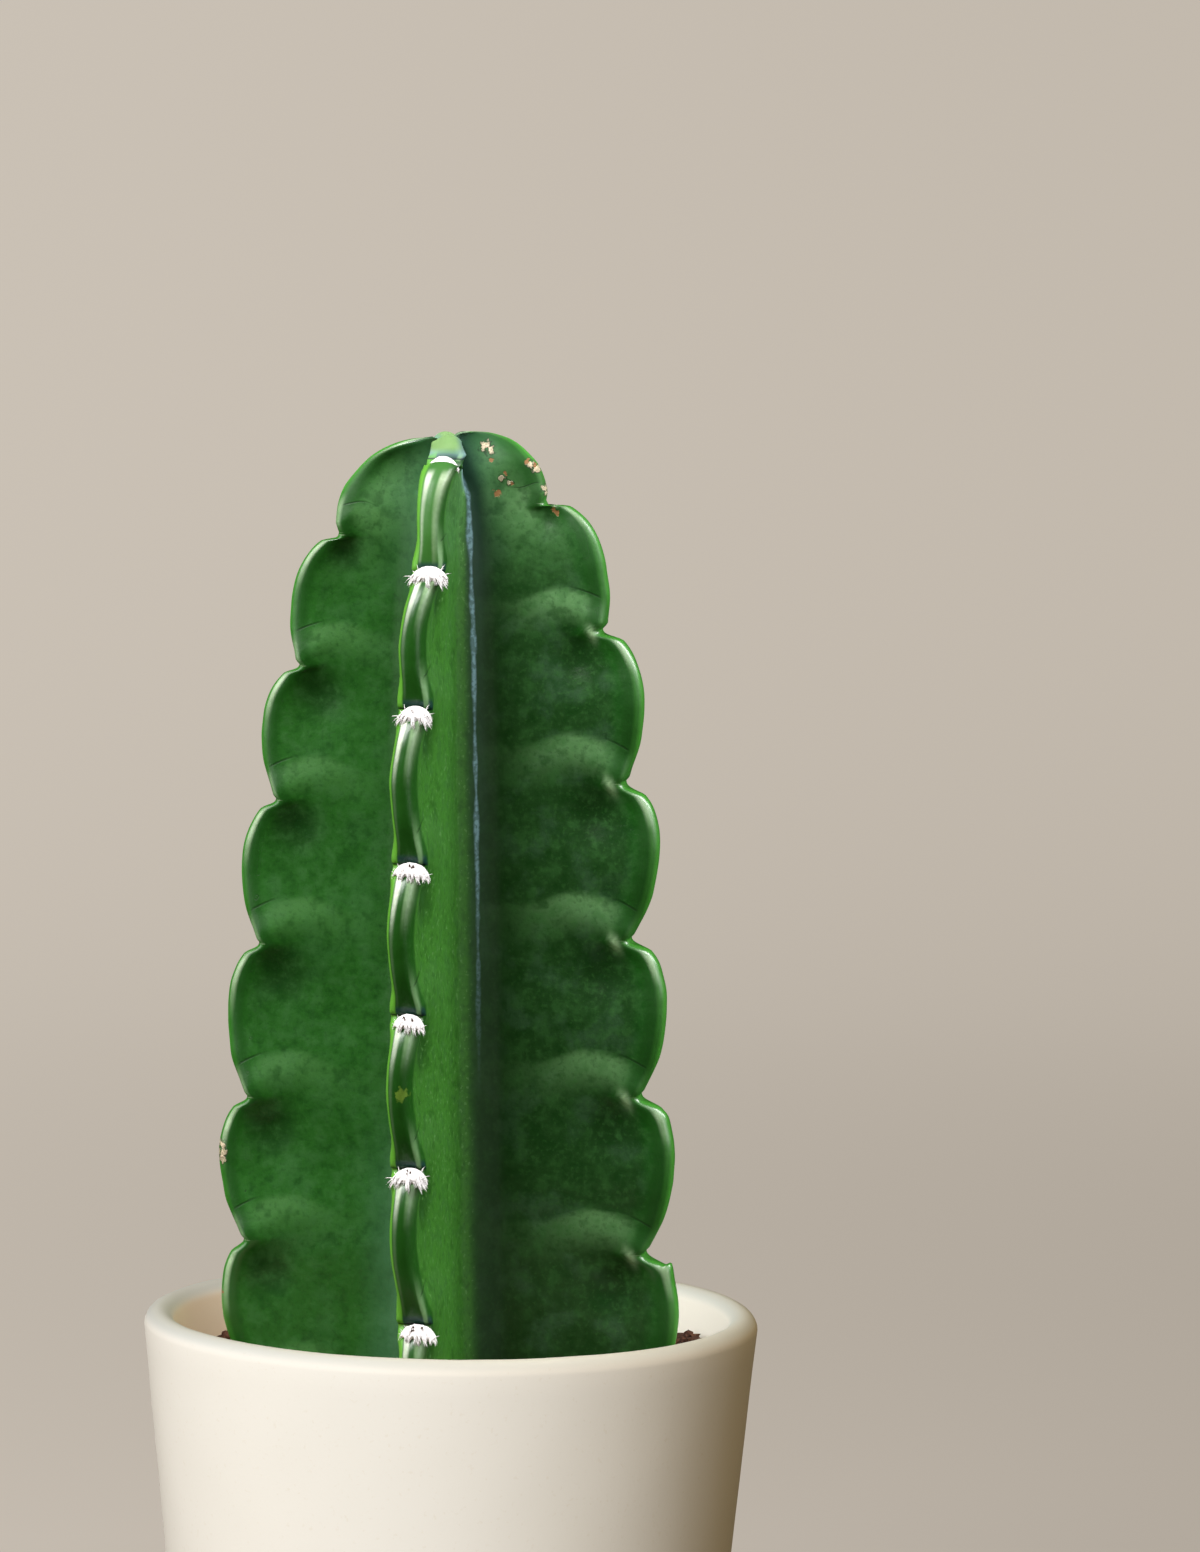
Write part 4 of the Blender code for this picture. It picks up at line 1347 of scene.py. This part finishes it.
def areole_frame(rib, place):
    """Where an areole sits, with X across the rib, Y up along the crest and Z off it."""
    radius, depth, *_ = crest(rib, np.array([place]))
    way = heading(rib, depth[0])
    outward = Vector((math.cos(way), math.sin(way), 0))
    up = Vector((0, 0, 1))
    across = up.cross(outward)
    normal = (outward + up * AREOLE_SLOPE).normalized()
    height = CROWN_HEIGHT - depth[0]
    aside = across * SWAY * math.cos(math.tau * (place - rib.first))
    centre = outward * radius[0] + aside + up * height
    centre.x += LEAN * (height - POT_HEIGHT)
    axes = Matrix((across, normal.cross(across), normal)).transposed().to_4x4()
    return Matrix.Translation(centre * MM) @ axes


# %% [markdown]
# Notches that lie under the mix stay bare. The stubs go onto the older areoles of the front and back
# ribs, more of them further down.

# %% Fill every notch
LOWEST_TUFT = 223.0
WORN_THICKNESS = 0.5
WORN_SINK = 2.2
LIFT = 1.7

seated, pricks = [], []
for rib in RIBS:
    worn = rib.wool < 1
    for index, depth in enumerate(rib.depths):
        if depth > LOWEST_TUFT:
            continue
        model = worn_tuft if worn else young_tuft if index == 0 else tufts[int(rng.integers(3))]
        wide = rib.wool * (1.0 if index < 2 else rng.uniform(0.84, 1.0))
        size = Matrix.Diagonal((wide, 1, WORN_THICKNESS if worn else 1, 1))
        shift = (0, 0, -WORN_SINK * MM) if worn else (0, LIFT * MM * min(index, 1), 0)
        below = 0.05 if index == 0 else 0.06
        spot = areole_frame(rib, rib.first + index + below) @ Matrix.Translation(shift) @ size
        seated.append(copy_of(model, spot))
        if index > 1 and not worn:
            pricks += [copy_of(stub, spot @ small) for small in stubs(2 + index // 3)]
heart_height = CROWN_HEIGHT - CROWN_DIP
heart = Vector((LEAN * (heart_height - POT_HEIGHT), 0, heart_height)) * MM
seated.append(copy_of(young_tuft, Matrix.Translation(heart)))
wool = join("areole_wool", seated)
spines = join("areole_stubs", pricks)
for template in (hair, stub, young_tuft, worn_tuft, *tufts):
    bpy.data.objects.remove(template)
pick(wool)
bpy.ops.object.shade_smooth()
print("wool:", triangles(wool), "triangles")

# %% [markdown]
# The wool is white and dull, with a breath of painted grey shade, in patches, for the gaps between
# the strands. The stubs are brown horn.

# %% Finish the wool
down = Finish("areole_wool", Roughness=0.9, Specular_IOR_Level=0.2, Sheen_Weight=0.3)
# Painted shade: grey patches for the gaps between strands.
painted_strand_shade = down.step(down.clouds(0.0012, 2.0), 0.3, 0.7)
down.base = down.mix(painted_strand_shade, colour(0.76, 0.74, 0.75), colour(0.88, 0.86, 0.87))
down.wear(Base_Color=down.base)
horn = Finish("brown_horn", Base_Color=colour(0.10, 0.065, 0.05), Roughness=0.6)
for piece, finish in ((wool, down), (spines, horn)):
    dress(piece, finish, on_plant)
    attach(piece, "root")
    print(piece.name, triangles(piece), "triangles")

# %% [markdown]
# ## Measure and finish
#
# Both boxes, of the solids and of the dressed model, are written down for comparison.

# %% Write the sizes
boxes = {"cad": solid_box, "visual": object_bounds()}
sizes = {name: [list(map(float, corner)) for corner in box] for name, box in boxes.items()}
print("sizes:", sizes)
